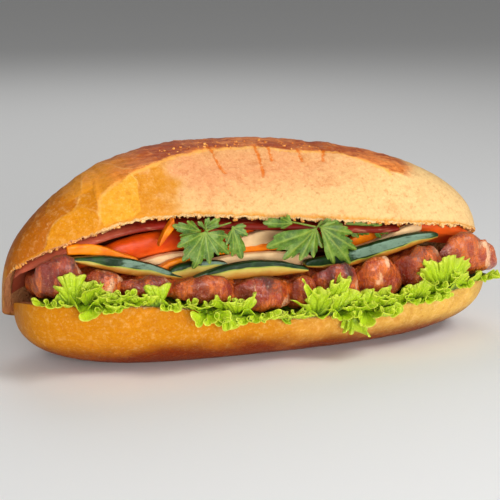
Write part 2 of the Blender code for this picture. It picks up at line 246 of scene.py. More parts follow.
def full_turn(count):
    """Angles all round a ring, in one row."""
    return np.linspace(0, 2 * math.pi, count, endpoint=False)[None]


def unit_ball(rings, steps):
    """A ball of radius 1 as rings that follow each other along x."""
    a, b = np.linspace(0, math.pi, rings)[:, None], full_turn(steps)
    return xyz(-np.cos(a), np.sin(a) * np.cos(b), np.sin(a) * np.sin(b))


def normals_of(points):
    """Unit normals of a grid of points from the cross product of its two directions."""
    du, dv = np.gradient(points, axis=0), np.gradient(points, axis=1)
    normal = np.cross(du, dv)
    return normal / (np.linalg.norm(normal, axis=-1, keepdims=True) + 1e-12)


def outward(ring):
    """Outward normals of a closed loft's rings, whose points go round without a repeated one."""
    normal = normals_of(np.hstack([ring[:, -1:], ring, ring[:, :1]]))[:, 1:-1]
    return normal * np.sign((normal * (ring - ring.mean(1, keepdims=True))).sum())


def raised(ring, relief):
    """The rings moved outwards by the relief at each point."""
    return ring + outward(ring) * relief[..., None]


def loft(rings, fields=None):
    """A closed part through rings of points; its first and last ring close into a single point.

    rings has the shape (rings, points, 3) in the loaf's frame. fields are float attributes of the shape
    (rings, points). Faces are turned outwards by the sign of the part's volume. A part is its points,
    the corners of its faces, where each face starts, and its attributes.
    """
    count, around = rings.shape[:2]
    inner = rings[1:-1].reshape(-1, 3)
    points = np.vstack([inner, rings[0].mean(0), rings[-1].mean(0)]) + PLACE
    first, last = len(inner), len(inner) + 1
    k = np.arange(around)
    n = (k + 1) % around
    row = np.arange(count - 3)[:, None] * around
    quads = np.stack([row + k, row + n, row + around + n, row + around + k], -1).reshape(-1, 4)
    end = (count - 3) * around
    caps = np.vstack([xyz(n, k, first), xyz(end + k, end + n, last)])
    triangles = np.vstack([quads[:, [0, 1, 2]], quads[:, [0, 2, 3]], caps])
    a, b, c = (points[triangles[:, j]] for j in range(3))
    if (a * np.cross(b, c)).sum() < 0:
        quads, caps = quads[:, ::-1], caps[:, ::-1]
    corners = np.concatenate([quads.ravel(), caps.ravel()])
    starts = np.concatenate([np.arange(len(quads)) * 4, len(quads) * 4 + np.arange(len(caps)) * 3])
    values = {}
    for key, field in (fields or {}).items():
        field = np.broadcast_to(field, rings.shape[:2])
        values[key] = np.concatenate([field[1:-1].ravel(), [field[0].mean(), field[-1].mean()]])
    return points, corners, starts, values


def body(name, *parts):
    """An object made of one part or of several with the same attributes."""
    points, corners, starts, values = zip(*parts)
    point_offsets = np.cumsum([0, *map(len, points)])
    corner_offsets = np.cumsum([0, *map(len, corners)])
    corners = np.concatenate([part + offset for part, offset in zip(corners, point_offsets)])
    starts = np.concatenate([part + offset for part, offset in zip(starts, corner_offsets)])
    points = np.vstack(points)
    mesh = bpy.data.meshes.new(name)
    mesh.vertices.add(len(points))
    mesh.vertices.foreach_set("co", points.astype(np.float32).ravel())
    mesh.loops.add(len(corners))
    mesh.loops.foreach_set("vertex_index", corners.astype(np.int32))
    mesh.polygons.add(len(starts))
    mesh.polygons.foreach_set("loop_start", starts.astype(np.int32))
    mesh.update(calc_edges=True)
    mesh.validate()
    mesh.shade_smooth()
    for key in values[0]:
        value = np.concatenate([part[key] for part in values]).astype(np.float32)
        mesh.attributes.new(key, "FLOAT", "POINT").data.foreach_set("value", value)
    made = bpy.data.objects.new(name, mesh)
    bpy.context.scene.collection.objects.link(made)
    return made


def keep(piece, finish, slot, *nodes):
    """Gives a piece its material, hangs it on the sandwich and hides the model's nodes that it stands for.
    """
    piece.data.materials.append(finish)
    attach(piece, "root")
    if nodes:
        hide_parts(*nodes)
    return piece


# ---------------------------------------------------------------- shader sums


class Value:
    """A shader socket that takes part in Python sums; each operation adds a Math node."""

    def __init__(self, finish, socket):
        self.finish, self.socket = finish, socket

    def maths(self, operation, *others):
        """Any other Math node on this socket."""
        inputs = dict(enumerate((self, *others)))
        return self.finish.node("ShaderNodeMath", {"operation": operation}, inputs)

    __add__ = __radd__ = partialmethod(maths, "ADD")
    __mul__ = __rmul__ = partialmethod(maths, "MULTIPLY")
    __sub__ = partialmethod(maths, "SUBTRACT")

    def __rsub__(self, other):
        return self.finish.node("ShaderNodeMath", {"operation": "SUBTRACT"}, {0: other, 1: self})

    def step(self, low, high):
        """0 at low, 1 at high and smooth between; high may be the lower one."""
        limits = {"Value": self, "From Min": low, "From Max": high}
        return self.finish.node("ShaderNodeMapRange", {"interpolation_type": "SMOOTHSTEP"}, limits)


class Finish:
    """A node material around one Principled shader, with patterns in Object coordinates."""

    def __init__(self, name, **constants):
        self.material = bpy.data.materials.new(name)
        self.material.use_nodes = True
        self.tree = self.material.node_tree
        self.shader = self.tree.nodes["Principled BSDF"]
        for key, value in constants.items():
            self.shader.inputs[key.replace("_", " ")].default_value = value
        self.place = self.node("ShaderNodeTexCoord", output="Object")

    def node(self, kind, settings=None, inputs=None, output=0):
        """Adds a node: its settings first, then the values or links of its sockets."""
        made = self.tree.nodes.new(kind)
        for key, value in (settings or {}).items():
            setattr(made, key, value)
        for key, value in (inputs or {}).items():
            if isinstance(value, Value):
                self.tree.links.new(value.socket, made.inputs[key])
            else:
                made.inputs[key].default_value = value
        return Value(self, made.outputs[output])

    def field(self, name):
        """A float attribute of the piece."""
        return self.node("ShaderNodeAttribute", {"attribute_name": name}, output="Fac")

    def axis(self, letter):
        """One coordinate of the place, in metres."""
        return self.node("ShaderNodeSeparateXYZ", None, {"Vector": self.place}, letter)

    def stretched(self, scale, turn=(0, 0, 0)):
        """The place, scaled along its axes and then turned, in radians."""
        return self.node("ShaderNodeMapping", None, {"Vector": self.place, "Scale": scale, "Rotation": turn})

    def grain(self, size, detail=3, rough=0.55, warp=0, at=None):
        """Noise around 0.5 whose features have this size in metres."""
        inputs = {"Vector": at or self.place, "Scale": 1 / size, "Detail": detail, "Roughness": rough}
        return self.node("ShaderNodeTexNoise", None, {**inputs, "Distortion": warp})

    def cells(self, size, feature="F1", at=None):
        """Distance to scattered points of this spacing, or to the edges between their cells."""
        inputs = {"Vector": at or self.place, "Scale": 1 / size}
        return self.node("ShaderNodeTexVoronoi", {"feature": feature}, inputs, "Distance")

    def paint(self, base, *coats):
        """Lays coats of (how much, colour) over a base colour, one after the other."""
        for factor, coat in coats:
            made = self.tree.nodes.new("ShaderNodeMix")
            made.data_type = "RGBA"
            for place, value in ((0, factor), (6, base), (7, coat)):
                if isinstance(value, Value):
                    self.tree.links.new(value.socket, made.inputs[place])
                else:
                    made.inputs[place].default_value = (*value[:3], 1) if place else value
            base = Value(self, made.outputs[2])
        return base

    def bump(self, height, distance, strength=1.0, under=None):
        """A normal from a height from 0 to 1 that stands for this distance in metres."""
        inputs = {"Height": height, "Distance": distance, "Strength": strength}
        if under:
            inputs["Normal"] = under
        return self.node("ShaderNodeBump", None, inputs)

    def drive(self, **links):
        """Links patterns to the shader's sockets and gives the finished material."""
        for key, value in links.items():
            self.tree.links.new(value.socket, self.shader.inputs[key.replace("_", " ")])
        return self.material


def tone(red, green, blue):
    """A colour as a shader takes it, from the 0 to 255 of a paint chart."""
    shares = (red / 255, green / 255, blue / 255)
    return tuple(((c + 0.055) / 1.055) ** 2.4 if c > 0.04 else c / 12.92 for c in shares)


# ---------------------------------------------------------------- what a user may change


def colour(name, description, default):
    """A colour setting."""
    kind = {"subtype": "COLOR", "min": 0, "max": 1}
    return FloatVectorProperty(name=name, description=description, default=default, **kind)


def length(name, description, default):
    """A length setting in metres."""
    return FloatProperty(name=name, description=description, default=default, unit="LENGTH", precision=4)


def angle(name, description, degrees):
    """An angle setting, whose default is given in degrees."""
    return FloatProperty(name=name, description=description, default=math.radians(degrees), subtype="ANGLE")


def number(name, description, default, most):
    """A setting that counts things."""
    return IntProperty(name=name, description=description, default=default, min=1, max=most)


class BanhMiLoaf(bpy.types.PropertyGroup):
    """Sizes and colours of the crust and crumb."""

    gold: colour("Golden crust", "Crust on the left and on the facets", tone(204, 127, 8))
    pale: colour("Pale crust", "Crust that the oven coloured least, to the right", tone(228, 190, 130))
    rosy: colour("Rosy crust", "Thin skin in the middle of the lid", tone(222, 148, 98))
    # the darker belt round the lower half's base is painted shade in a colour of its own
    toast: colour("Toasted crust", "Band above the ridge and belt round the base", tone(156, 50, 10))
    crumb: colour("Crumb", "Torn inside of the bread", tone(246, 204, 140))
    ridge: length("Ridge", "Height of the ridge along the lid", 1.5 * MM)
    crease: length("Crease", "Height of the facets' edges", 0.5 * MM)
    tear: length("Tear", "How far the torn lip is uneven", 0.9 * MM)
    crumbs: number("Crumbs", "Number of crumbs on the torn lip", 900, 2000)
    flakes: number("Flakes", "Number of crust flakes by the ridge", 70, 500)


class BanhMiMeat(bpy.types.PropertyGroup):
    """Colours and relief of the ham and the grilled pork."""

    ham: colour("Ham", "Slice that lines the lid", tone(112, 24, 10))
    lean: colour("Lean pork", "Grilled meat", tone(156, 40, 12))
    glaze: colour("Glazed pork", "Where the glaze runs thick", tone(240, 122, 32))
    fat: colour("Fat", "Marbling", tone(250, 192, 144))
    # the fat of the ham and the pork, on the pork also painted as highlights
    char: colour("Char", "Burnt ridges", tone(58, 14, 8))
    lumps: length("Lumps", "Relief of the pork", 1.7 * MM)


class BanhMiGarden(bpy.types.PropertyGroup):
    """Colours of the vegetables and herbs."""

    skin: colour("Cucumber skin", "Dark green skin", tone(12, 40, 10))
    # bloom: a pale sheen painted on the skin as a highlight
    bloom: colour("Cucumber sheen", "Pale sheen on the skin", tone(104, 130, 108))
    flesh: colour("Cucumber flesh", "Moist flesh under the skin", tone(176, 122, 42))
    carrot: colour("Carrot", "Pickled carrot", tone(250, 140, 4))
    daikon: colour("Daikon", "Pickled daikon", tone(240, 202, 148))
    tomato: colour("Tomato", "Ripe tomato", tone(226, 78, 8))
    leaf: colour("Lettuce", "Frill of the lettuce", tone(176, 206, 28))
    # also laid at the frill's edge, partly as a painted highlight
    rib: colour("Lettuce rib", "Paler parts near the ribs", tone(228, 232, 90))
    herb: colour("Coriander", "Upper side of the coriander", tone(88, 120, 20))
    stem: colour("Coriander stem", "Stems and veins", tone(150, 164, 60))
    frill: length("Frill", "Swing of the lettuce's ruffles", 1.55 * MM)


class BanhMiStage(bpy.types.PropertyGroup):
    """Camera, light and floor."""

    turn: angle("Turn", "Camera azimuth", -20)
    tilt: angle("Tilt", "Camera elevation", 13.5)
    away: length("Distance", "From the camera to its target", 0.6)
    lens: FloatProperty(name="Lens", description="Focal length in millimetres", default=98.5, min=10)
    floor: colour("Floor", "Plain pale floor", (0.86, 0.86, 0.85))


# ---------------------------------------------------------------- bread

# rings along each half, points round its crust, points across its cut face
LID_RINGS, LID_STEPS, LID_FACE_STEPS = 470, 152, 42
BELLY_RINGS, BELLY_STEPS, BELLY_FACE_STEPS = 400, 130, 42

# courses on the lid as (x in mm, turn in degrees): the long ridge, the edges between facets, the cracks
LID_RIDGE = (
    (-73, 2), (-70, 14), (-57, 20), (-43, 25), (-27, 31), (-4, 35), (19, 33), (39, 34), (54, 27), (58, 21),
)
LID_CREASES = (
    ((-81, 16), (-73, 2), (-76, -14)),
    ((-74, 60), (-81, 16), (-88, 14), (-92, 12), (-96, -4)),
    ((-58, 22), (-55, 13), (-55, 2)),
    ((-68, 60), (-58, 27), (-45, 26)),
    ((-33, 62), (-28, 37)),
    ((39, 36), (36, 62)),
    ((56, 36), (66, 32), (64, 25), (57, 26)),
)
LID_CRACKS = (
    ((-20, 36), (-19, 27), (-17, 16)),
    ((0, 38), (1, 28), (0, 14)),
    ((6, 35), (6, 25)),
    ((20, 34), (20, 26)),
    ((31, 35), (29, 27)),
)
# facets of the lid: their corners as (x in mm, turn in degrees), and how dark (-1) or golden (1)
LID_FACETS = (
    (((-73, 2), (-70, 14), (-57, 21), (-55, 13), (-55, 2), (-60, -12), (-72, -10)), 0.7),
    (((-72, 70), (-66, 58), (-58, 27), (-70, 15), (-73, 2), (-81, 16)), -0.3),
    (((-84, 80), (-74, 60), (-81, 16), (-92, 12), (-93, 34)), -0.6),
    (((-92, 12), (-81, 16), (-73, 2), (-77, -25), (-97, -12)), 0.15),
    (((-93, 34), (-92, 12), (-97, -12), (-109, -20), (-109, 90), (-84, 90)), -0.75),
    (((-34, 80), (-28, 36), (-44, 26), (-46, 60)), -0.9),
    (((-59, 80), (-46, 40), (-45, 26), (-58, 24), (-66, 58)), -0.35),
    (((24, 80), (38, 80), (39, 35), (30, 35)), -1.0),
    (((56, 38), (67, 34), (65, 25), (57, 25)), 0.9),
)


# the toasted top: where it fades out at the left, right and back, and its lower limit past the ridge
TOP_LEFT, TOP_RIGHT, TOP_BACK, TOP_LIMIT = (-92, -70), (80, 56), (110, 70), 24
LID_LIP_STEP, BELLY_LIP_STEP = 0.9 * MM, 0.8 * MM
# crumbs: the share of the lip they lie on and how many points in from it; flakes: how far from the
# ridge in mm, the least share of toast, and the middle and half length of their stretch of the lid
CRUMB_FROM, CRUMB_TO, CRUMB_STEPS = 0.06, 0.94, 6
FLAKE_REACH, FLAKE_TOAST, FLAKE_MIDDLE, FLAKE_SPAN = 9, 0.3, -5 * MM, 38 * MM


def in_facet(x, y, corners):
    """True where the point lies within the polygon, by the even-odd rule."""
    inside = np.zeros(x.shape, bool)
    for (ax, ay), (bx, by) in zip(corners, corners[1:] + corners[:1]):
        if ay != by:
            inside ^= ((ay > y) != (by > y)) & (x < ax + (bx - ax) * (y - ay) / (by - ay))
    return inside


def on_lid(course):
    """A course given in mm and degrees, as a path of points on the lid's crust."""
    keys = curve_through(course, 6 * len(course))
    s = (keys[:, 0] * MM - UPPER_CENTRE) / (UPPER_LENGTH / 2)
    return lid_crust(s[:, None], np.radians(keys[:, 1:2]))[:, 0]


def above_ridge(ring, degrees):
    """1 on the crust that lies over the ridge and on top, fading out at the back and the ends."""
    keys = np.array(LID_RIDGE, float)
    x = ring[..., 0] / MM
    limit = np.interp(x, keys[:, 0], keys[:, 1], TOP_LIMIT, TOP_LIMIT)
    wander = 5 * layered(ring, 14 * MM, 2, 19)
    ends = smooth(*TOP_LEFT, x + wander) * smooth(*TOP_RIGHT, x + wander)
    return smooth(-1, 2, degrees - limit) * smooth(*TOP_BACK, degrees + wander) * ends


def half_loaf(crust, face, step):
    """A half's rings, from its crust and its cut face, and two fields.

    inside is 1 on the cut face, and lip is the distance from the nearer lip, counted in steps.
    """
    ring = np.hstack([crust, face])
    k = np.arange(ring.shape[1]) + 0 * ring[..., 0]
    return ring, (k >= crust.shape[1]).astype(float), np.minimum(k, ring.shape[1] - k) * step


def lid_ring(loaf):
    """The lid's rings of points with all their relief, and the fields of its crust."""
    s = stations(LID_RINGS)
    start = math.asin((BULGE_RISE / BULGE_RADIUS) ** (SECTION_POWER / 2))
    turn = np.linspace(-start, math.pi + start, LID_STEPS)
    face = hollow_face(s, np.linspace(1, -1, LID_FACE_STEPS)[None, 1:-1])
    ring, inside, lip = half_loaf(lid_crust(s, turn[None]), face, LID_LIP_STEP)
    degrees = np.degrees(np.pad(turn, (0, LID_FACE_STEPS - 2), mode="edge")) + 0 * inside
    shaken = ring + 1.1 * MM * np.stack([layered(ring, 7 * MM, 3, seed) for seed in (61, 62, 63)], -1)
    ridge = distance_to(shaken, on_lid(LID_RIDGE))
    crease = np.min([distance_to(shaken, on_lid(course)) for course in LID_CREASES], 0)
    crack = np.min([distance_to(shaken, on_lid(course)) for course in LID_CRACKS], 0)
    facet = 0 * inside
    wavy = degrees + 2 * layered(ring, 9 * MM, 2, 64)
    for corners, shade in LID_FACETS:
        facet = np.where(in_facet(shaken[..., 0] / MM, wavy, corners), shade, facet)
    over = above_ridge(ring, degrees)
    torn = mound(lip, 6 * MM)
    relief = loaf.ridge * np.clip(1 - ridge / (9 * MM), 0, 1) ** 1.3
    relief += loaf.crease * np.clip(1 - crease / (5 * MM), 0, 1) + 0.3 * MM * facet
    relief += 0.25 * MM * mound(crack - 1.3 * MM, 1.6 * MM) - 0.5 * MM * mound(crack, 1.8 * MM)
    relief += 0.5 * MM * layered(ring, 24 * MM, 3, 3) + 0.12 * MM * layered(ring, 2.6 * MM, 2, 5)
    relief += over * 0.5 * MM * (1 - np.abs(layered(ring * (1, 0.35, 0.35), 5 * MM, 2, 9)) * 2)
    relief += loaf.tear * torn * layered(ring, 3.4 * MM, 4, 11, 0.75)
    relief += inside * 0.5 * MM * layered(ring, 3 * MM, 3, 13, 0.75)
    ends = taper(s, 3)
    ring = raised(ring, relief * ends)
    shreds = 1.2 - 2.4 * np.abs(noise(ring * (1, 0.3, 0.3), 1.2 * MM, 17))
    shreds += 1.2 * layered(ring, 6 * MM, 3, 18)
    ring[..., 2] -= 0.55 * MM * torn * shreds * ends
    far = {"ridge": ridge / MM, "crease": crease / MM, "crack": crack / MM, "lip": lip / MM}
    return ring, {"inside": inside, **far, "over": over, "facet": facet}


class BANHMI_OT_upper_crust(bpy.types.Operator):
    """Build the lid of the loaf, with its ridge, facets, cracks and torn lip."""

    bl_idname = "banhmi.upper_crust"
    bl_label = "Upper crust"

    def execute(self, context):
        loaf = context.scene.banhmi_loaf
        lid = body("upper_crust", loft(*lid_ring(loaf)))
        keep(lid, crust_finish("lid_crust", loaf, True), "crust", "bread_roll")
        return {"FINISHED"}


def crust_finish(name, loaf, lid):
    """Baked crust: gold to pale along the loaf, toasted in a band on the lid, painted darker round the lower
    half's base as shade, fine skin, torn crumb at its lip.
    """
    f = Finish(name, Specular_IOR_Level=0.06)
    x, z = f.axis("X"), f.axis("Z")
    soft, blotch = f.grain(34 * MM) - 0.5, f.grain(9 * MM, 4, 0.6) - 0.5
    skin, pits = f.grain(1.1 * MM, 4, 0.7) - 0.5, f.grain(2.6 * MM, 3, 0.6) - 0.5
    streak = f.grain(1.0, 4, 0.7, 0.3, f.stretched((110, 500, 500))) - 0.5
    lip = f.field("lip")
    ragged = lip + (f.grain(2.0 * MM, 4, 0.7) - 0.5) * 3.4 + blotch * 4.0
    if lid:
        right = (x + soft * 0.07 + blotch * 0.02).step(-0.075, 0.095)
        middle = (x + soft * 0.05 + blotch * 0.03).step(-0.05, -0.034) * (x + soft * 0.06).step(0.08, 0.01)
        middle = middle * (f.axis("Y") + blotch * 0.02).step(0.02, -0.01)
        facet, over = f.field("facet"), (f.field("over") * (1 + blotch * 0.8)).step(0.1, 0.8)
        band = f.paint(
            loaf.toast,
            ((streak + blotch).step(-0.2, 0.25), tone(236, 136, 66)),
            (facet.step(0, -1) * 0.7, tone(150, 52, 16)),
            ((x + blotch * 0.02).step(-0.045, -0.075) * 0.75, tone(234, 156, 34)),
        )
        ridge = (f.field("ridge") + skin * 2).step(1.1, 0.3)
        vein = (f.field("crease") + skin * 1.2).step(0.7, 0.1) * blotch.step(-0.2, 0.15)
        split = (f.field("crack") + skin * 1.5).step(1.1, 0.4) * blotch.step(-0.3, 0.0)
        wrinkle = f.cells(7 * MM, "DISTANCE_TO_EDGE", f.stretched((1.6, 0.8, 0.8))) + skin * 0.15
        wrinkle = wrinkle.step(0.05, 0.0) * middle * blotch.step(0.0, 0.2)
        base = f.paint(
            loaf.gold,
            (right, loaf.pale),
            (middle * 0.75, loaf.pale),
            (middle * (z + soft * 0.02 + blotch * 0.012).step(0.064, 0.08), loaf.rosy),
            (facet.step(0, -1) * 0.75, tone(164, 74, 16)),
            (facet.step(0, 1) * (0.6 + 0.6 * blotch), tone(236, 176, 52)),
            (over * 0.92, band),
            (ridge * 0.7, tone(246, 178, 84)),
            (vein * 0.42, tone(244, 200, 124)),
            (split * 0.85, tone(214, 106, 12)),
            (wrinkle * 0.45, tone(196, 104, 60)),
        )
        plain, torn = 1 - 0.6 * over, ragged.step(3.2, 1.6)
    else:
        right = (x + soft * 0.07 + blotch * 0.02).step(-0.03, 0.095)
        # painted shade: low darkens the lower half's crust towards its base
        low = (z + soft * 0.010 + blotch * 0.006).step(0.0165, 0.006)
        base = f.paint(loaf.gold, (right, tone(226, 178, 84)), (low * 0.95, tone(116, 32, 4)))
        plain, torn = 1 - 0.7 * low, ragged.step(0.0, -0.8)
    base = f.paint(
        base,
        ((soft + blotch).step(0.05, 0.4) * 0.35, tone(196, 104, 22)),
        (pits.step(0.02, 0.2) * plain * (0.16 + 0.14 * right), tone(250, 210, 140)),
        (pits.step(-0.03, -0.2) * 0.3, tone(186, 96, 24)),
        (streak.step(0.02, 0.3) * plain * (0.12 + 0.12 * right), loaf.pale),
        (skin.step(0.03, 0.2) * plain * (0.14 + 0.2 * right), tone(255, 226, 168)),
        (skin.step(-0.04, -0.2) * 0.35, tone(180, 88, 22)),
    )
    if lid:
        base = f.paint(base, ((lip + blotch * 6 + pits * 6).step(7, 2) * 0.9, tone(216, 140, 40)))
    pores = f.cells(1.3 * MM) + skin
    crumb = f.paint(
        loaf.crumb,
        (pores.step(0.5, 0.1) * 0.6, tone(226, 160, 96)),
        (blotch.step(0.0, 0.2) * 0.5, tone(232, 166, 74)),
        ((x + blotch * 0.02).step(-0.06, -0.09) * 0.7, tone(232, 142, 90)),
    )
    crumbly = f.field("inside").maths("MAXIMUM", torn)
    normal = f.bump(pits + 0.5, 0.0007, 0.6)
    normal = f.bump(skin + 0.5, 0.0005, 0.7, normal)
    normal = f.bump(streak + 0.5, 0.0004, 0.4, normal)
    normal = f.bump(pores * crumbly, 0.0012, 0.7, normal)
    rough = 0.42 + 0.45 * crumbly + 0.4 * skin
    return f.drive(Base_Color=f.paint(base, (crumbly, crumb)), Normal=normal, Roughness=rough)


class BANHMI_OT_lower_crust(bpy.types.Operator):
    """Build the lower half of the loaf, with its lip and base."""

    bl_idname = "banhmi.lower_crust"
    bl_label = "Lower crust"

    def execute(self, context):
        loaf = context.scene.banhmi_loaf
        s = stations(BELLY_RINGS)
        x = LOWER_CENTRE + LOWER_LENGTH / 2 * s
        y = half_width(s) * np.linspace(1, -1, BELLY_FACE_STEPS)[None, 1:-1]
        crust = belly_crust(s, np.linspace(0, math.pi, BELLY_STEPS)[None])
        ring, inside, lip = half_loaf(crust, xyz(x, y, floor_height(x, y)), BELLY_LIP_STEP)
        relief = 0.35 * MM * layered(ring, 20 * MM, 3, 23) * smooth(0, 6 * MM, ring[..., 2])
        relief += 0.05 * MM * layered(ring, 3 * MM, 2, 25)
        relief += 0.5 * loaf.tear * mound(lip, 3 * MM) * layered(ring, 3 * MM, 3, 27, 0.7)
        ring = raised(ring, relief * taper(s, 3))
        ring[..., 2] = np.maximum(ring[..., 2], 0)
        half = body("lower_crust", loft(ring, {"inside": inside, "lip": lip / MM}))
        keep(half, crust_finish("belly_crust", loaf, False), "crust", "bread_roll")
        return {"FINISHED"}


def specks(centres, sizes, key, seed):
    """A part of many uneven specks: an icosphere at each centre, squashed and roughened by noise."""
    ball = bmesh.new()
    bmesh.ops.create_icosphere(ball, subdivisions=2, radius=1)
    shape = np.array([v.co for v in ball.verts])
    faces = np.array([[v.index for v in face.verts] for face in ball.faces])
    ball.free()
    squash = np.stack([0.6 + 0.7 * scattered(key, k) for k in (1, 2, 3)], -1)
    rough = 1 + 0.5 * noise(shape[None] * 1.7 + 9 * key[:, None], 1.0, seed)
    points = centres[:, None] + shape[None] * squash[:, None] * (sizes[:, None] * rough)[..., None]
    corners = (faces[None] + len(shape) * np.arange(len(key))[:, None, None]).ravel()
    starts = np.arange(len(key) * len(faces)) * 3
    shade = np.repeat(scattered(key, 4), len(shape))
    return points.reshape(-1, 3) + PLACE, corners, starts, {"shade": shade}


class BANHMI_OT_crumbs(bpy.types.Operator):
    """Stick crumbs to the lid's torn lip and flakes of crust to its ridge."""

    bl_idname = "banhmi.crumbs"
    bl_label = "Crumbs and flakes"

    def execute(self, context):
        loaf = context.scene.banhmi_loaf
        ring, fields = lid_ring(loaf)
        key = numbered(loaf.crumbs, 5)
        station = (LID_RINGS * (CRUMB_FROM + (CRUMB_TO - CRUMB_FROM) * scattered(key, 1))).astype(int)
        step = (CRUMB_STEPS * scattered(key, 2)).astype(int) + 1 - CRUMB_STEPS
        size = (0.3 + 0.7 * scattered(key, 3) ** 3) * MM
        centre = ring[station, step] + 0.2 * size[:, None] * outward(ring)[station, step]
        f = Finish("bread_crumb", Roughness=0.85)
        base = f.paint(
            tone(238, 190, 122),
            (f.field("shade").step(0.1, 0.7), tone(216, 140, 50)),
            (f.grain(0.8 * MM).step(0.5, 0.75) * 0.3, tone(250, 226, 186)),
        )
        crumbs = body("bread_crumbs", specks(centre, size, numbered(loaf.crumbs, 6), 6))
        keep(crumbs, f.drive(Base_Color=base), "crust")

        near = (fields["ridge"] < FLAKE_REACH) & (fields["over"] > FLAKE_TOAST)
        places = np.argwhere(near & (np.abs(ring[..., 0] - FLAKE_MIDDLE) < FLAKE_SPAN))
        key = numbered(loaf.flakes, 8)
        station, step = places[(len(places) * scattered(key, 1)).astype(int)].T
        size = (0.25 + 0.45 * scattered(key, 3) ** 3) * MM
        f = Finish("crust_flake", Roughness=0.55)
        base = f.paint(tone(214, 112, 20), (f.field("shade"), tone(244, 176, 84)))
        flakes = body("crust_flakes", specks(ring[station, step], size, numbered(loaf.flakes, 9), 9))
        keep(flakes, f.drive(Base_Color=base), "crust")
        return {"FINISHED"}


# ---------------------------------------------------------------- ham and pork

HAM_THICKNESS, HAM_GAP, HAM_DROOP = 2.0 * MM, 0.9 * MM, 5.0 * MM
# where the slice ends along the lid and across it, from -1 to 1
HAM_FROM, HAM_TO, HAM_FRONT, HAM_BACK = -0.96, 0.56, -0.99, 0.45
HAM_RINGS, HAM_STEPS = 280, 90
LEAF_THICKNESS, GAP = 1.2 * MM, 0.35 * MM
# grilled pork from left to right: (left, right, crest, shoulder, back) in mm, as in the model
PORK = (
    (-100, -83, 52, 46, 28),
    (-82, -67, 45, 42, 36.5),
    (-67, -46, 42, 39, 37.5),
    (-46, -20, 41, 37.5, 36),
    (-20, 4, 38.5, 35.5, 32),
    (4, 17, 37, 34, 30),
    (17, 37, 43, 37.5, 29.5),
    (37, 57, 42, 36.5, 27),
    (57, 79, 44.5, 41, 29),
    (79, 108, 46, 37.5, 21.5),
)
PORK_LEAN = -0.22
PORK_INSET, PORK_BACK, PORK_END = 1.2 * MM, 16 * MM, 0.86
CREST_DEPTH, CREST_SLOPE = 3 * MM, 5 * MM
PORK_POWERS = np.array((2.3, 4, 4))
# how much longer than in the model the lumps are, so that they press on each other
PORK_SPREAD = 1.26
# for each lump: where its crest stands along it, from 0 to 1, the crest's slant, how burnt the lump
# is, and how many mm it lies to the right of its place in the model
PORK_FOLDS = (
    (0.55, 0.1, 0.85, 3), (0.3, 0.3, 0.6, 1), (0.7, -0.2, 0.55, 0), (0.78, 0.15, 0.4, 0),
    (0.42, 0.3, 0.7, 0), (0.6, -0.1, 0.35, 0), (0.6, 0.35, 1.0, 0), (0.25, -0.3, 0.1, 0),
    (0.45, 0.2, 0.5, 0), (0.4, 0.3, 0.25, -1.5),
)
PORK_RINGS, PORK_STEPS = 120, 132


class BANHMI_OT_ham(bpy.types.Operator):
    """Line the lid with a slice of ham."""

    bl_idname = "banhmi.ham"
    bl_label = "Ham"

    def execute(self, context):
        meat = context.scene.banhmi_meat
        s = np.linspace(HAM_FROM, HAM_TO, HAM_RINGS)[:, None]
        place = np.linspace(-1, 1, HAM_RINGS)[:, None]
        turn = full_turn(HAM_STEPS)
        across = (HAM_FRONT + HAM_BACK) / 2 - (HAM_BACK - HAM_FRONT) / 2 * np.cos(turn)
        thick = HAM_THICKNESS / 2 * signed_power(np.sin(turn), 0.35)
        ring = hollow_face(s, across, HAM_GAP + HAM_THICKNESS / 2)
        wave = 0.5 * MM * layered(ring, 12 * MM, 3, 31)
        front = smooth(HAM_FRONT + 0.35, HAM_FRONT, across)
        ring[..., 2] -= HAM_DROOP * (1 - np.sin(turn)) / 2 * front * taper(place, 4)
        ring[..., 2] += thick * taper(place, 12) + np.minimum(wave, 0) * (thick < 0)
        keep(body("ham_slice", loft(ring)), ham_finish(meat), "ham", "ham")
        return {"FINISHED"}


def ham_finish(meat):
    """Cured ham: mottled brick red with pale streaks of fat, moist, paler towards the left end."""
    f = Finish("cured_ham", Roughness=0.45, Specular_IOR_Level=0.15)
    mottle = f.grain(9 * MM, 4, 0.6, 0.6)
    streak = f.grain(1.0, 3, 0.6, 0.4, f.stretched((60, 260, 260)))
    left = (f.axis("X") + (mottle - 0.5) * 0.03).step(-0.05, -0.085)
    base = f.paint(
        meat.ham,
        (mottle.step(0.35, 0.7), f.paint(meat.ham, (0.4, tone(150, 30, 16)))),
        (left * 0.85, tone(180, 88, 60)),
        (streak.step(0.56, 0.74) * 0.5, meat.fat),
    )
    return f.drive(Base_Color=base, Normal=f.bump(f.grain(1.2 * MM, 3), 0.0004, 0.5))


def pork_block(number):
    """The model's pork: a superellipsoid block between the lettuce and a top highest at its front."""
    left, right, crest, shoulder, back = (value * MM for value in PORK[number])
    ball = unit_ball(PORK_RINGS, PORK_STEPS)
    block = ball / (np.abs(ball) ** PORK_POWERS).sum(-1, keepdims=True) ** (1 / PORK_POWERS)
    x = (left + right) / 2 + ((right - left) / 2 - GAP) * block[..., 0]
    front = -half_width(np.clip(x / (LOWER_LENGTH / 2), -PORK_END, PORK_END)) + PORK_INSET
    deep = (block[..., 1] + 1) / 2
    y = front + (PORK_BACK - front) * deep
    bottom = floor_height(x, y) + LEAF_THICKNESS + 2 * GAP
    slope = np.clip((y - front - CREST_DEPTH) / CREST_SLOPE, 0, 1)
    top = crest + (shoulder - crest) * slope + (back - shoulder) * deep**2
    z = bottom + (top - bottom) * (block[..., 2] + 1) / 2
    return xyz(x + PORK_LEAN * (z - bottom), y, z)


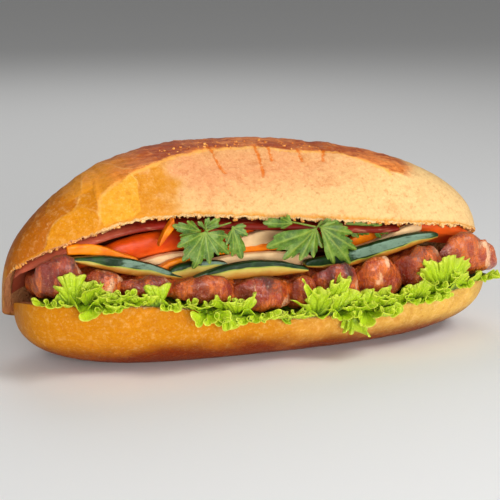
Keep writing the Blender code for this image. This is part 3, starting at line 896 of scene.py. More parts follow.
class BANHMI_OT_pork(bpy.types.Operator):
    """Lay the lumps of grilled, glazed pork along the mouth."""

    bl_idname = "banhmi.pork"
    bl_label = "Grilled pork"

    def execute(self, context):
        meat = context.scene.banhmi_meat
        finish = pork_finish(meat)
        for number, (peak, slant, burnt, moved) in enumerate(PORK_FOLDS):
            ring = pork_block(number)
            seed = 40 + 3 * number
            low, high = ring[..., 2].min(), ring[..., 2].max()
            up = (ring[..., 2] - low) / (high - low)
            ring[..., 0] += moved * MM
            left, wide = ring[..., 0].min(), np.ptp(ring[..., 0])
            ring[..., 0] = left + wide / 2 + (ring[..., 0] - left - wide / 2) * PORK_SPREAD
            place = (ring[..., 0] - left) / wide + 0.16 * layered(ring, 7 * MM, 2, seed + 8)
            crest = place - peak + slant * (up - 1)
            fold = np.abs(crest)
            folds = 1 - 2.4 * np.abs(noise(ring * (1, 1, 0.4), 6 * MM, seed + 4))
            pits = layered(ring, 1.6 * MM, 3, seed + 2, 0.7)
            relief = meat.lumps * layered(ring, 11 * MM, 2, seed + 1, 0.45)
            relief += 1.5 * MM * np.clip(1 - fold / 0.6, 0, 1) ** 1.2 * up
            relief -= 0.8 * MM * mound(np.abs(crest + 0.45), 0.3) * up
            relief += 0.6 * MM * folds + 0.36 * MM * pits
            ends = np.sin(np.linspace(0, math.pi, PORK_RINGS))[:, None] ** 0.5
            ring = raised(ring, relief * ends)
            wander = layered(ring, 4 * MM, 3, seed + 5)
            char = 0.75 * smooth(0.55, 1.25, up + 0.6 * wander + 0.3 * folds)
            char = char + 0.55 * mound(fold + 0.12 * wander, 0.3) * smooth(0.35, 0.95, up)
            # patches of fat that also serve as a painted highlight, on the side of each crest past its peak
            fat = smooth(0.0, 0.5, layered(ring * (1.2, 1, 0.6), 5 * MM, 3, seed + 6))
            fat = fat * smooth(-0.05, 0.15, crest)
            # painted shade, kept in the field fold: darker in the valley beside the crest, low down on the
            # lump and in the folds' hollows
            shade = mound(np.abs(crest + 0.42), 0.3) + smooth(0.3, 0.0, up) + 0.6 * smooth(-0.2, -0.8, folds)
            fields = {"char": np.clip(char * burnt, 0, 1), "fat": fat, "fold": np.clip(shade, 0, 1)}
            lump = body(f"grilled_pork_{number + 1}", loft(ring, fields))
            keep(lump, finish, "pork", f"pork_{number + 1}")
        return {"FINISHED"}


def pork_finish(meat):
    """Grilled pork: lean, glaze and fat in patches, with painted highlights in the fat's colour, fine
    fibres, burnt on its ridges, wet with glaze, painted shade in its hollows and low down.
    """
    f = Finish("grilled_pork", Specular_IOR_Level=0.65, Coat_Weight=0.4, Coat_Roughness=0.3)
    patch = f.grain(7 * MM, 3, 0.5, 0.6) - 0.5
    fibre = f.grain(1.0, 4, 0.7, 0.6, f.stretched((700, 520, 230), (0.3, 0.5, 0.2))) - 0.5
    speck = f.grain(0.8 * MM, 4, 0.7) - 0.5
    deep = f.paint(meat.lean, (0.45, meat.char))
    burnt = (f.field("char") + speck * 1.6 + fibre * 0.6 + patch * 0.8).step(0.1, 1.1)
    base = f.paint(
        meat.lean,
        ((patch + fibre * 0.5).step(-0.2, 0.2), meat.glaze),
        (fibre.step(0.02, -0.2) * 0.5, deep),
        # fat, partly a painted highlight
        ((f.field("fat") + patch + speck).step(0.25, 0.9) * 0.85, meat.fat),
        # painted shade: the fold field lays the deep colour in the hollows and low down
        ((f.field("fold") + patch).step(0.3, 1.0) * 0.8, deep),
        (burnt.step(0.0, 0.5) * 0.8, deep),
        (burnt.step(0.35, 1.0) * 0.85, meat.char),
        # cream flecks along the fibres: fat and painted glints
        ((speck + fibre).step(0.12, 0.32) * 0.5, meat.fat),
    )
    normal = f.bump(fibre + 0.5, 0.0007, 0.8)
    normal = f.bump(speck + 0.5, 0.0010, 0.8, normal)
    return f.drive(Base_Color=base, Normal=normal, Roughness=0.24 + 0.15 * f.field("char") + 0.5 * speck)


# ---------------------------------------------------------------- strips and wedges

# name: (start, end, height, depth, bow in mm, how tall each tip is as a share of the height)
BATONS = {
    "cucumber_1": ((-86, -22.3, 49.2), (-41, -22.6, 38.2), 6.6, 4.4, 0.7, (0.2, 0.2)),
    "cucumber_2": ((-46, -22.3, 39.8), (-21, -22.3, 40.4), 7.4, 4.4, 0.5, (0.8, 0.7)),
    "cucumber_3": ((-37, -27.4, 38.2), (12.5, -27.4, 37.8), 7.2, 4.4, 1.9, (0.3, 0.3)),
    "cucumber_4": ((12, -25.4, 39.8), (74, -24.4, 47.2), 7.4, 4.6, -1.2, (0.5, 0.4)),
    "carrot_1": ((-87, -16.8, 51.6), (-58, -17, 45), 4.8, 4.2, 1.5, (0.8, 0.4)),
    "carrot_2": ((-49.5, -18.7, 51.4), (-43, -18.7, 60), 4.6, 4, 0.3, (0.35, 1.0)),
    "carrot_3": ((-50, -17.3, 40.4), (-28, -17.3, 41), 5.4, 4.2, 1.6, (0.4, 0.8)),
    "carrot_4": ((-22, -12.5, 45.4), (22, -12.5, 44.6), 4, 4, 0.4, (1, 0.8)),
    "carrot_5": ((38, -12.7, 43.4), (66, -12.7, 46.6), 7, 4.2, 2.0, (0.6, 0.5)),
    "daikon_1": ((-15, -12.4, 47.5), (17, -12.4, 50), 6.5, 4.2, 0.8, (0.6, 0.7)),
    "daikon_2": ((-26, -17.4, 40.8), (18, -17.4, 39.2), 6.4, 4.6, 1.0, (0.7, 0.6)),
    "daikon_3": ((36, -17.4, 41), (69.5, -17.6, 50.2), 5, 4.2, -1.2, (0.6, 0.8)),
    "daikon_4": ((-56, -12.5, 42.6), (-28, -12.5, 44), 4, 4.2, 0.5, (0.5, 0.8)),
}
# how far up a cucumber's skin begins, from -1 to 1, and from where to where along it the skin gleams
PEEL = {
    "cucumber_1": (-0.1, 0.45, 0.9),
    "cucumber_2": (0.35, 0.5, 1.1),
    "cucumber_3": (0.28, -0.2, 0.1),
    "cucumber_4": (-0.3, 0.34, 0.95),
}
# how far a strip swings down and then up along its length, in mm
SWAYS = {"cucumber_4": 0.8, "daikon_3": 0.4, "carrot_1": -0.6}
# name: (centre, half length, half height, half depth, roll in degrees), in mm
WEDGES = {
    "tomato_1": ((-52, -6.0, 45.6), 29, 7.6, 6.2, 8),
    "tomato_2": ((-15, -4.4, 48), 17, 7.5, 6.2, -2),
    "tomato_3": ((22, -4.4, 45.6), 20, 6.8, 6.2, -4),
    "tomato_4": ((80.5, -10, 44.4), 19, 5, 5.6, -12),
}
WEDGE_CUT, WEDGE_SLOPE = -0.45, 0.6
STRIP_RINGS, STRIP_STEPS = 110, 64
WEDGE_RINGS, WEDGE_STEPS = 90, 72


def strip(name, seed, power=5):
    """A knife-cut strip: a rounded rectangle |y|^p + |z|^p = 1 along a bowed line, uneven and tapered.

    Its fields are up, from -1 at the bottom to 1 at the top, and skin and sheen on a cucumber: skin
    lies above a height that wanders, and sheen on the share of its length that PEEL gives.
    """
    start, end, height, depth, bow, tips = BATONS[name]
    t = (1 - np.cos(np.linspace(0, math.pi, STRIP_RINGS)))[:, None] / 2
    place, turn = 2 * t - 1, full_turn(STRIP_STEPS)
    y, z = np.cos(turn) + 0 * t, np.sin(turn) + 0 * t
    share = (np.abs(y) ** power + np.abs(z) ** power) ** (-1 / power)
    up = z * share
    narrow = (1 - (1 - np.where(t < 0.5, *tips)) * place**2) * taper(place, 5 if name in PEEL else 18)
    middle = np.array(start) + (np.array(end) - start) * t
    middle[:, 2] += bow * np.sin(math.pi * t[:, 0]) - SWAYS.get(name, 0) * np.sin(2 * math.pi * t[:, 0])
    ring = middle[:, None] + xyz(0, y * share * depth / 2 * taper(place, 26), up * height / 2 * narrow)
    ring = raised(ring * MM, 0.35 * MM * layered(ring * MM, 6 * MM, 3, seed) * taper(place, 8))
    line, gleam_from, gleam_to = PEEL.get(name, (2, 0, 0))
    skin = smooth(line - 0.08, line + 0.08, up + 0.35 * layered(ring, 9 * MM, 2, seed + 5))
    gleam = smooth(gleam_from - 0.06, gleam_from + 0.06, t) * smooth(gleam_to + 0.06, gleam_to - 0.06, t)
    gleam = gleam * smooth(0.95, 0.75, np.abs(up - (line + 1) / 2) / (1 - line) * 2) * (y < 0.2)
    return body(name + "_strip", loft(ring, {"up": up, "skin": skin, "sheen": gleam}))


def cucumber_finish(garden):
    """Cucumber: dark skin with a pale sheen, bright under its edge, moist yellow flesh below."""
    f = Finish("cucumber", Specular_IOR_Level=0.25)
    speck, patch = f.grain(1.1 * MM, 3), f.grain(5 * MM, 3)
    streak = f.grain(1.0, 4, 0.7, 0.3, f.stretched((140, 700, 700))) - 0.5
    skin, sheen = f.field("skin"), f.field("sheen")
    gleam = (sheen + (patch - 0.5) * 1.3 + streak * 1.6).step(0.4, 1.05)
    skins = f.paint(
        garden.skin,
        (patch.step(0.5, 0.7) * 0.5, tone(44, 84, 24)),
        # painted sheen on the skin's front, where the field sheen is high
        (gleam, garden.bloom),
        (speck.step(0.62, 0.74) * gleam * 0.6, garden.skin),
    )
    up = f.field("up") + streak * 0.6 + (patch - 0.5) * 0.5
    flesh = f.paint(
        garden.flesh,
        (up.step(-0.5, 0.1), tone(186, 164, 74)),
        (up.step(-0.25, -0.85) * 0.8, tone(150, 84, 18)),
        (streak.step(0.05, 0.25) * 0.4, tone(206, 186, 108)),
    )
    rim = skin.step(0.02, 0.5) * skin.step(0.98, 0.5)
    base = f.paint(flesh, (skin, skins), (rim, tone(150, 170, 60)))
    normal = f.bump(speck, 0.0003, 0.5)
    return f.drive(Base_Color=base, Normal=normal, Roughness=0.28 + 0.2 * patch)


def root_finish(name, pale, deep, fibrous):
    """A pickled root strip: fine fibres along it, darker in patches, wet."""
    f = Finish(name, Specular_IOR_Level=0.2)
    fibre = f.grain(1.0, 3, 0.6, 0.2, f.stretched((120, 700, 700)))
    patch = f.grain(6 * MM, 3)
    base = f.paint(pale, (patch.step(0.35, 0.7) * 0.7, deep), (fibre.step(0.5, 0.75) * fibrous, deep))
    return f.drive(Base_Color=base, Normal=f.bump(fibre, 0.0003, 0.5), Roughness=0.28 + 0.2 * patch)


class BANHMI_OT_cucumber(bpy.types.Operator):
    """Lay the cucumber strips over the pork."""

    bl_idname = "banhmi.cucumber"
    bl_label = "Cucumber"

    def execute(self, context):
        finish = cucumber_finish(context.scene.banhmi_garden)
        for seed, name in enumerate(n for n in BATONS if n.startswith("cucumber")):
            keep(strip(name, 70 + seed, 4), finish, "cucumber", name)
        return {"FINISHED"}


class BANHMI_OT_pickles(bpy.types.Operator):
    """Lay the pickled carrot and daikon strips."""

    bl_idname = "banhmi.pickles"
    bl_label = "Pickled carrot and daikon"

    def execute(self, context):
        garden = context.scene.banhmi_garden
        finishes = {
            "carrot": root_finish("pickled_carrot", garden.carrot, tone(214, 88, 10), 0.5),
            "daikon": root_finish("pickled_daikon", garden.daikon, tone(214, 166, 118), 0.35),
        }
        for seed, name in enumerate(n for n in BATONS if not n.startswith("cucumber")):
            kind = name.split("_")[0]
            keep(strip(name, 80 + seed), finishes[kind], kind, name)
        return {"FINISHED"}


class BANHMI_OT_tomato(bpy.types.Operator):
    """Tuck the tomato wedges in under the lid."""

    bl_idname = "banhmi.tomato"
    bl_label = "Tomato"

    def execute(self, context):
        garden = context.scene.banhmi_garden
        f = Finish("ripe_tomato", Specular_IOR_Level=0.2, Subsurface_Weight=0.1, Subsurface_Scale=0.002)
        patch = f.grain(8 * MM, 3, 0.5, 0.6)
        vein = f.grain(1.0, 3, 0.6, 0.3, f.stretched((150, 400, 400)))
        low = f.axis("Z") + (patch - 0.5) * 0.004 + f.axis("X").step(-0.03, -0.07) * 0.004
        base = f.paint(
            garden.tomato,
            (patch.step(0.4, 0.7) * 0.7, tone(190, 40, 8)),
            (low.step(0.0495, 0.0475) * 0.8, tone(238, 100, 30)),
            (vein.step(0.6, 0.75) * 0.35, tone(240, 130, 50)),
        )
        normal = f.bump(f.grain(2 * MM), 0.0004, 0.5)
        finish = f.drive(Base_Color=base, Normal=normal, Roughness=0.3 + 0.2 * patch)
        ball = unit_ball(WEDGE_RINGS, WEDGE_STEPS)
        ball[..., 2] = np.maximum(ball[..., 2], WEDGE_CUT)
        ends = np.sin(np.linspace(0, math.pi, WEDGE_RINGS))[:, None]
        for seed, (name, (centre, long, high, deep, roll)) in enumerate(WEDGES.items()):
            x, y, z = np.moveaxis(ball * (long, deep, high), -1, 0)
            c, s = math.cos(math.radians(roll)), math.sin(math.radians(roll))
            ring = (xyz(x * c - z * s, y, x * s + z * c - WEDGE_SLOPE * y) + centre) * MM
            ring = raised(ring, 0.5 * MM * layered(ring, 8 * MM, 3, 100 + seed) * ends)
            keep(body(name + "_wedge", loft(ring)), finish, "tomato", name)
        return {"FINISHED"}


# ---------------------------------------------------------------- leaves

# name: (left and right in mm, folds, their phase, reaches in mm, leans in degrees), as in the model
LEAVES = {
    "lettuce_1": (-100, -63, 3, 0.6, (8, 16, 14, 9, 9), (40, 45, -10, -10, 25)),
    "lettuce_2": (-60.5, 0.5, 5, 2.0, (12, 10, 9, 12, 10), (45, 10, 0, 25, -10)),
    "lettuce_3": (3, 49, 4, 5.4, (10, 17, 11, 14, 10), (20, 45, -22, 38, 10)),
    "lettuce_4": (51.5, 104, 4, 0.2, (8, 13, 16, 10, 7), (20, 42, 45, 30, 15)),
}
LEAF_BACK, LEAF_END = 18 * MM, 92 * MM
LEAF_PAST_LIP, LIP_END, LEAF_SWING, SKIRT = 0.9 * MM, 0.9, 36, 0.28
INNER_ROWS, FRILL_ROWS, COLUMNS_A_MM = 5, 12, 5
FROND_COLUMNS, FROND_ROWS = 112, 17
FROND_BASE, FROND_INSET, FROND_WAVE = 1.2 * MM, 0.6 * MM, 4.4
# fronds of each leaf: (x, reach in mm, lean up from level, swivel to the right, half spread in degrees)
FRONDS = {
    "lettuce_1": (
        (-96.5, 6, 20, -25, 52), (-92, 6, 0, 0, 56), (-87, 12.5, 76, -14, 46), (-82, 11, 62, 16, 44),
        (-80, 7.5, -20, 2, 50), (-75.5, 7, -14, 16, 46), (-77, 9, 52, 24, 44), (-73, 6.5, 40, -22, 62),
        (-69, 8.5, 58, 4, 60), (-65, 7, 22, 20, 60), (-71, 6.5, -5, 0, 60),
    ),
    "lettuce_2": (
        (-60, 7, 48, -22, 60), (-55, 9, 70, 10, 34), (-52, 6, 14, 8, 46), (-44.5, 6, 28, -8, 48),
        (-39, 7, 20, 10, 62), (-34, 10.5, -14, -2, 56), (-28, 8, -26, 12, 60), (-27, 10, 56, -12, 46),
        (-22, 9, 46, 12, 52), (-18, 8, -8, -10, 62), (-12, 7.5, 24, 10, 62), (-6, 7, 8, -12, 64),
        (-1, 6.5, 22, 15, 60),
    ),
    "lettuce_3": (
        (4, 7, 12, -12, 60), (12, 12, 64, -20, 46), (16, 16, 78, 2, 42), (20, 11, 58, 20, 48),
        (24, 7, 5, 0, 60), (27, 10, -52, 6, 38), (29, 9, 28, 12, 56), (33, 9.5, 56, -12, 60),
        (38, 11, 60, 10, 60), (42, 9, 33, 2, 62), (35, 11.5, -8, 6, 56), (43, 8, -8, 10, 60),
        (47, 9.5, 46, 16, 60),
    ),
    "lettuce_4": (
        (54, 7, 18, -16, 60), (59, 10, 54, 4, 52), (63, 7, 14, 14, 56), (68, 11, 52, -12, 52),
        (73, 15.5, 76, 4, 48), (77, 12, 54, 16, 50), (70, 8, 8, 0, 56), (84, 5.5, 26, 12, 60),
        (89, 7, 32, 22, 60), (94, 7, 22, 42, 56), (98, 6.5, 10, 55, 56),
    ),
}


def lip_of_leaf(x):
    """Where a leaf at x passes the lip: y in front of the bread and z above it."""
    y = -half_width(np.clip(x / (LOWER_LENGTH / 2), -LIP_END, LIP_END)) - LEAF_PAST_LIP
    return y, floor_height(x, y) + GAP + LEAF_THICKNESS / 2


def leaf(sheet, thick, edge, rib):
    """A closed thin leaf: the sheet of points moved half its thickness to either side."""
    half = normals_of(sheet) * (thick / 2)[..., None]
    fields = {"edge": np.hstack([edge, edge[:, ::-1]]), "rib": np.hstack([rib, rib[:, ::-1]])}
    return loft(np.hstack([sheet + half, (sheet - half)[:, ::-1]]), fields)


def uncoiled(bend, step):
    """How far ahead and up a sheet's line goes that takes equal steps, each at its own angle."""
    return tuple((np.cumsum(part, 1) - part[:, :1]) * step for part in (np.cos(bend), np.sin(bend)))


def skirt(name, seed):
    """The part of a lettuce leaf that lies on the cut and passes the lip with a short wavy edge.

    Past the lip its lean from level swings with the folds, and the edge is the running sum of steps in
    that direction, each as long as the noise lets it.
    """
    left, right, folds, phase, reaches, leans = LEAVES[name]
    u = np.linspace(-1, 1, int((right - left) * COLUMNS_A_MM))[:, None]
    v = np.linspace(0, 1, FRILL_ROWS)[None]
    x = (left + right + (right - left) * u) / 2 * MM
    line = xyz(x, 0, 0)
    reach = SKIRT * along(reaches, u) * MM * (1 + 0.4 * layered(line, 3 * MM, 3, seed, 0.7))
    turn = math.pi * folds * u + phase
    bend = np.radians(along(leans, u) + LEAF_SWING * np.sin(turn) + 60 * noise(line, 5 * MM, seed + 2) * v)
    out, rise = uncoiled(bend, reach / (FRILL_ROWS - 1))
    lip, z = lip_of_leaf(x)
    inside = np.linspace(1, 0, INNER_ROWS, endpoint=False)[None]
    ix = x + (np.clip(x, -LEAF_END, LEAF_END) - x) * inside
    iy = lip + (LEAF_BACK - lip) * inside
    iz = floor_height(ix, iy) + GAP + LEAF_THICKNESS / 2
    sheet = np.hstack([xyz(ix, iy, iz), xyz(x, lip - out, z + rise)])
    edge = np.hstack([0 * inside, 0.6 * v]) + 0 * x
    rib = np.abs(np.sin(math.pi * x / (4.5 * MM) + 1.4 * noise(line, 6 * MM, seed + 5))) + 0 * edge
    return leaf(sheet, (0.4 - 0.2 * edge) * MM, edge, rib)


def frond(place, reach, lean, swivel, spread, seed, swing):
    """A curly frond: a fan about a point on the lip, whose edge is too long for it and so ruffles.

    Along the fan the lean from level curls on, and the middle line is the running sum of steps in that
    direction. Across it go waves whose swing grows towards the edge, with finer ones near the edge, and
    a quarter turn later the points also sway sideways, so that the edge loops.
    """
    u = np.linspace(-1, 1, FROND_COLUMNS)[:, None]
    v = np.linspace(0, 1, FROND_ROWS)[None]
    spread = math.radians(spread)
    angle = spread * u
    arc = xyz(reach * angle, seed, 0)
    notch = 1 + 0.2 * layered(arc, 1.6, 2, seed, 0.7) + 0.35 * noise(arc, 4.5, seed + 1)
    size = reach * MM * notch * taper(u, 5)
    curl = scattered(np.array([seed, 3.0, 1.0]), 5) * 90 - 30 + 50 * noise(arc, 5, seed + 2)
    bend = np.radians(lean + curl * v**2)
    ahead, rise = uncoiled(bend, size / (FROND_ROWS - 1))
    waves = max(3, round(reach * spread * 2 / FROND_WAVE))
    wide = math.pi * waves * u + 2.2 * noise(arc, 4, seed + 3) + 1.2 * v
    tight = 2.7 * math.pi * waves * u + 3 * noise(arc, 2, seed + 4) + 2 * v
    ease = swing * taper(u, 4)
    ruffle = ease * (v**1.1 * np.sin(wide) + 0.3 * v**2.5 * np.sin(tight))
    sway = ease * (v**1.3 * np.cos(wide) + 0.4 * v**2.5 * np.cos(tight))
    side = FROND_BASE * u + np.sin(angle) * size * v + sway * np.cos(angle)
    ahead = ahead * np.cos(angle) - ruffle * np.sin(bend)
    rise = rise * np.cos(angle) + ruffle * np.cos(bend)
    c, s = math.cos(math.radians(swivel)), math.sin(math.radians(swivel))
    lip, z = lip_of_leaf(np.array(place * MM))
    sheet = xyz(place * MM + side * c + ahead * s, lip + FROND_INSET + side * s - ahead * c, z + rise)
    edge = v + 0 * u
    rib = np.abs(np.sin(2.5 * np.pi * u + noise(arc, 3, seed + 5))) + 0 * edge
    return leaf(sheet, (0.34 - 0.2 * edge) * MM, edge, rib)


def leaf_finish(garden):
    """Lettuce: lime green, paler along its ribs and at its edge, where the paleness is partly a painted
    highlight, painted deep green down inside as shade, translucent.
    """
    f = Finish("lettuce_leaf", Specular_IOR_Level=0.35, Subsurface_Weight=0.4, Subsurface_Scale=0.0016)
    f.shader.inputs["Subsurface Radius"].default_value = (0.8, 1.0, 0.2)
    edge, rib = f.field("edge"), f.field("rib")
    patch = f.grain(3.5 * MM, 4, 0.6)
    base = f.paint(
        # painted shade: deep green where the leaf lies inside, under the lime that grows towards the edge
        tone(84, 116, 4),
        ((edge + (patch - 0.5) * 0.6).step(0.05, 0.65), garden.leaf),
        (rib.step(0.25, 0.02) * edge.step(1.1, 0.3) * 0.4, garden.rib),
        # paler at the very edge, partly a painted highlight
        ((edge + (patch - 0.5) * 0.4).step(0.8, 1.05) * 0.5, garden.rib),
        (patch.step(0.52, 0.7) * 0.5, tone(134, 168, 8)),
    )
    net = f.cells(1.4 * MM, "DISTANCE_TO_EDGE")
    normal = f.bump(net.step(0.0, 0.15), 0.0003, 0.6)
    normal = f.bump(rib, 0.0006, 0.5, normal)
    return f.drive(Base_Color=base, Normal=normal, Roughness=0.3 + 0.25 * patch)


class BANHMI_OT_lettuce(bpy.types.Operator):
    """Lay the lettuce and let its curled edge stand over the lip."""

    bl_idname = "banhmi.lettuce"
    bl_label = "Lettuce"

    def execute(self, context):
        garden = context.scene.banhmi_garden
        finish = leaf_finish(garden)
        for seed, name in enumerate(LEAVES):
            fronds = [frond(*row, 220 + 20 * seed + k, garden.frill) for k, row in enumerate(FRONDS[name])]
            keep(body(name + "_leaf", skirt(name, 200 + seed), *fronds), finish, "leaf", name)
        return {"FINISHED"}


# coriander leaflets: base in mm, droop towards the front, lobes as (degrees clockwise from up, length in mm)
LEAFLETS = {
    "coriander_1": (
        ((-32, -27, 57), 0.35, ((250, 12.5), (224, 14), (203, 14.5), (176, 12), (152, 10))),
        ((-31, -26.5, 56.5), 0.2, ((150, 8), (136, 12.5), (104, 8.5))),
        ((-33.5, -25.5, 57), 0.15, ((264, 8.5), (286, 11.5), (310, 7.5))),
        ((-31.5, -25, 58), 0.1, ((318, 4), (20, 4.5), (62, 7), (82, 6))),
        ((-19.5, -25, 57.5), 0.3, ((208, 7), (184, 11), (166, 12.5), (120, 6.5), (84, 5))),
    ),
    "coriander_2": (
        ((16.5, -27, 54.8), 0.35, ((256, 22), (234, 18), (214, 14), (192, 11), (164, 8))),
        ((18, -27.5, 55.6), 0.35, ((160, 16), (141, 20), (124, 18), (104, 13.5), (76, 6))),
        ((7, -24, 56.8), 0.1, ((254, 5), (276, 12), (300, 6), (330, 4.5))),
        ((19, -25, 56), 0.1, ((70, 5), (96, 10), (118, 7))),
    ),
    "coriander_3": (
        ((34, -19, 54), 0.2, ((60, 5), (96, 13), (118, 11), (140, 8), (176, 5))),
        ((46, -20, 52), 0.2, ((84, 4), (116, 7), (146, 6))),
    ),
}
# coriander stems: courses in mm
STEMS = {
    "coriander_1": (((-32, -26, 57), (-26, -24, 58), (-19, -22, 59)), ((-31.5, -26, 57), (-31, -25, 59))),
    "coriander_2": (((17, -26.5, 55.2), (10, -24, 56.8), (3, -20, 58)), ((17, -27, 55.2), (20, -25, 57.5))),
    "coriander_3": (((36, -18, 55.5), (30, -17, 56.5)),),
}
LEAFLET_POINTS, LEAFLET_RINGS = 300, 24
# the widest half lobe in radians, then in mm: the core, half the blade's thickness, half its edge's
LOBE_WIDTH, LEAFLET_CORE, LEAFLET_HALF, LEAFLET_EDGE, LEAFLET_SCALE = 0.5, 0.6, 0.16, 0.03, 1.08
STEM_RINGS, STEM_STEPS, STEM_RADIUS = 26, 10, 0.45


def leaflet(base, droop, lobes, seed):
    """A coriander leaflet, polar about its base: at each angle it reaches as far as its longest lobe.

    A lobe of length L and half width w, at t = angle off its axis / w, reaches L (1 - |t|^2.2)^(5/8),
    cut back by up to 18% between its three teeth. The blade droops, waves with noise, folds a little at
    each lobe's axis, and is a closed lens with a thin edge.
    """
    a = full_turn(LEAFLET_POINTS)
    axes = np.unwrap(np.radians([direction for direction, _ in lobes]))
    gaps = np.abs(np.diff(axes))
    reach, off_axis = 0 * a + LEAFLET_CORE, 0 * a + math.pi
    for k, (axis, (_, long)) in enumerate(zip(axes, lobes)):
        off = (a - axis + math.pi) % (2 * math.pi) - math.pi
        t = off / min(0.85 * gaps[max(k - 1, 0):k + 1].mean(), LOBE_WIDTH)
        teeth = 0.82 + 0.18 * np.abs(np.cos(1.5 * math.pi * t)) ** 0.6
        lobe = long * np.clip(1 - np.abs(t) ** 2.2, 0, 1) ** 0.625 * teeth
        off_axis = np.where(lobe > reach, np.abs(off), off_axis)
        reach = np.maximum(reach, lobe)
    size = max(long for _, long in lobes)
    share = np.sin(np.linspace(0, math.pi, LEAFLET_RINGS))[:, None]
    side = np.where(np.arange(LEAFLET_RINGS) < LEAFLET_RINGS // 2, 1.0, -1.0)[:, None]
    r = share * reach
    flat = xyz(r * np.sin(a), 0, r * np.cos(a))
    wave = 0.12 * size * layered(flat + seed, 0.45 * size, 2, seed) * share
    fold = 0.315 * np.minimum(off_axis, LOBE_WIDTH) * r
    out = droop * r - 0.012 * r**2 + wave - fold + side * (LEAFLET_HALF * (1 - share**6) + LEAFLET_EDGE)
    ring = (LEAFLET_SCALE * flat + xyz(0, -out, 0) + base) * MM
    vein = np.abs(np.sin(np.minimum(off_axis, 1.5))) * r / size
    return loft(ring, {"vein": vein, "reach": r / size})


def stem(course):
    """A round stem along a smooth course, a little thinner towards its end."""
    path = curve_through(course, STEM_RINGS)
    t, b = np.linspace(0, 1, STEM_RINGS)[:, None], full_turn(STEM_STEPS)
    ahead = np.gradient(path, axis=0)
    ahead /= np.linalg.norm(ahead, axis=1, keepdims=True)
    side = np.cross(ahead, (0, 1, 0))
    side /= np.linalg.norm(side, axis=1, keepdims=True)
    over = np.cross(ahead, side)
    circle = np.cos(b)[..., None] * side[:, None] + np.sin(b)[..., None] * over[:, None]
    thick = STEM_RADIUS * (1 - 0.3 * t) * taper(2 * t - 1, 20)
    return loft((path[:, None] + thick[..., None] * circle) * MM, {"vein": 0.0, "reach": 0.0})


class BANHMI_OT_coriander(bpy.types.Operator):
    """Hang the coriander sprigs out from under the lid."""

    bl_idname = "banhmi.coriander"
    bl_label = "Coriander"

    def execute(self, context):
        garden = context.scene.banhmi_garden
        f = Finish("coriander_leaf", Specular_IOR_Level=0.35, Subsurface_Weight=0.2, Subsurface_Scale=0.001)
        vein, patch = f.field("vein"), f.grain(4 * MM, 4)
        fine = f.grain(0.7 * MM, 2)
        green = f.paint(
            garden.herb,
            (patch.step(0.4, 0.7), tone(52, 84, 8)),
            (patch.step(0.5, 0.3) * 0.35, tone(150, 168, 84)),
            (f.field("reach").step(0.8, 1.0) * 0.4, tone(50, 88, 16)),
            (vein.step(0.03, 0.005) * 0.4, garden.stem),
            (fine.step(0.5, 0.75) * 0.3, tone(150, 176, 90)),
        )
        normal = f.bump(vein.step(0.0, 0.12), 0.0005, 0.7, f.bump(fine, 0.0002, 0.4))
        finish = f.drive(Base_Color=green, Normal=normal, Roughness=0.36 + 0.2 * patch)
        for name in LEAFLETS:
            leaflets = [leaflet(*row, 3 + k) for k, row in enumerate(LEAFLETS[name])]
            keep(body(name + "_sprig", *leaflets, *map(stem, STEMS[name])), finish, "herb", name)
        return {"FINISHED"}


# ---------------------------------------------------------------- stage


LOOK_AT = Vector((0, 8 * MM, 39 * MM))
SENSOR, WORLD_LIGHT, FLOOR_REACH = 36, 0.2, 3
# area lights: (place from the target in metres, size in metres, power in watts)
LIGHTS = {
    "key": ((0.5, -0.55, 0.7), 0.3, 4.7),
    "front": ((-0.1, -0.95, 0.08), 0.5, 10.0),
    "fill": ((-0.8, -0.5, 0.5), 0.8, 1.6),
    "rim": ((0.1, 0.8, 0.7), 0.6, 2.0),
}


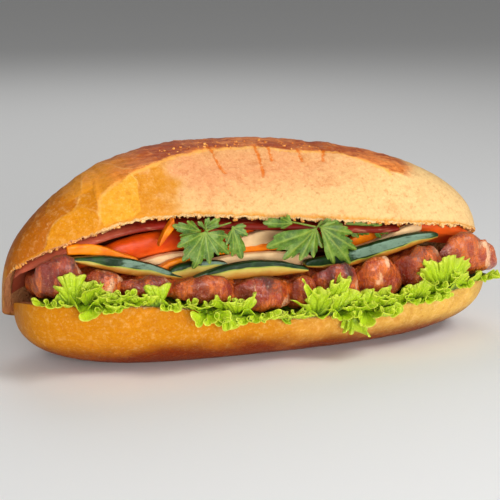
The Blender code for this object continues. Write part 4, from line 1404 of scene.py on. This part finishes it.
class BANHMI_OT_stage(bpy.types.Operator):
    """Set up the camera, the soft light and the pale floor."""

    bl_idname = "banhmi.stage"
    bl_label = "Stage"

    def execute(self, context):
        stage = context.scene.banhmi_stage
        target = Vector(PLACE) + LOOK_AT
        turned = Euler((math.pi / 2 - stage.tilt, 0, stage.turn))
        camera = bpy.data.objects.new("camera", bpy.data.cameras.new("camera"))
        camera.location = target + turned.to_matrix() @ Vector((0, 0, stage.away))
        camera.rotation_euler = turned
        camera.data.sensor_width, camera.data.lens = SENSOR, stage.lens
        camera.data.clip_start, camera.data.clip_end = 0.01, 20
        context.scene.collection.objects.link(camera)
        context.scene.camera = camera
        for name, (place, size, power) in LIGHTS.items():
            light = bpy.data.lights.new(name, "AREA")
            light.energy, light.size = power, size
            lamp = bpy.data.objects.new(name, light)
            lamp.location = target + Vector(place)
            lamp.rotation_euler = Vector(place).to_track_quat("Z", "Y").to_euler()
            context.scene.collection.objects.link(lamp)
        world = bpy.data.worlds.new("studio")
        world.use_nodes = True
        sky = world.node_tree.nodes["Background"].inputs
        sky["Color"].default_value, sky["Strength"].default_value = (1, 1, 1, 1), WORLD_LIGHT
        context.scene.world = world
        corners = FLOOR_REACH * np.array([[-1, -1, 0], [1, -1, 0], [1, 1, 0], [-1, 1, 0]], float)
        floor = body("floor", (corners, np.arange(4), np.array([0]), {}))
        floor.data.materials.append(Finish("floor", Base_Color=(*stage.floor, 1), Roughness=0.7).material)
        context.scene.view_settings.view_transform = "Standard"
        return {"FINISHED"}


# ---------------------------------------------------------------- add-on


class BANHMI_PT_panel(bpy.types.Panel):
    """Lists the sandwich's pieces and their settings."""

    bl_label = "Banh mi"
    bl_space_type = "VIEW_3D"
    bl_region_type = "UI"
    bl_category = "Banh mi"

    def draw(self, context):
        for group in GROUPS:
            box = self.layout.box()
            box.label(text=group.split("_")[1].title())
            settings = getattr(context.scene, group)
            for key in settings.__annotations__:
                box.prop(settings, key)
        for operator in OPERATORS:
            self.layout.operator(operator.bl_idname)


GROUPS = {
    "banhmi_loaf": BanhMiLoaf,
    "banhmi_meat": BanhMiMeat,
    "banhmi_garden": BanhMiGarden,
    "banhmi_stage": BanhMiStage,
}
OPERATORS = (
    BANHMI_OT_upper_crust,
    BANHMI_OT_lower_crust,
    BANHMI_OT_crumbs,
    BANHMI_OT_ham,
    BANHMI_OT_pork,
    BANHMI_OT_cucumber,
    BANHMI_OT_pickles,
    BANHMI_OT_tomato,
    BANHMI_OT_lettuce,
    BANHMI_OT_coriander,
    BANHMI_OT_stage,
)
CLASSES = (*GROUPS.values(), *OPERATORS, BANHMI_PT_panel)


def register():
    """Makes the add-on's classes and settings known to Blender."""
    for one in CLASSES:
        bpy.utils.register_class(one)
    for key, group in GROUPS.items():
        setattr(bpy.types.Scene, key, PointerProperty(type=group))


def unregister():
    """Takes the add-on's settings and classes out again."""
    for key in GROUPS:
        delattr(bpy.types.Scene, key)
    for one in reversed(CLASSES):
        bpy.utils.unregister_class(one)


def main():
    """Builds every piece in turn."""
    register()
    for operator in OPERATORS:
        group, name = operator.bl_idname.split(".")
        getattr(getattr(bpy.ops, group), name)()


if __name__ == "__main__":
    main()
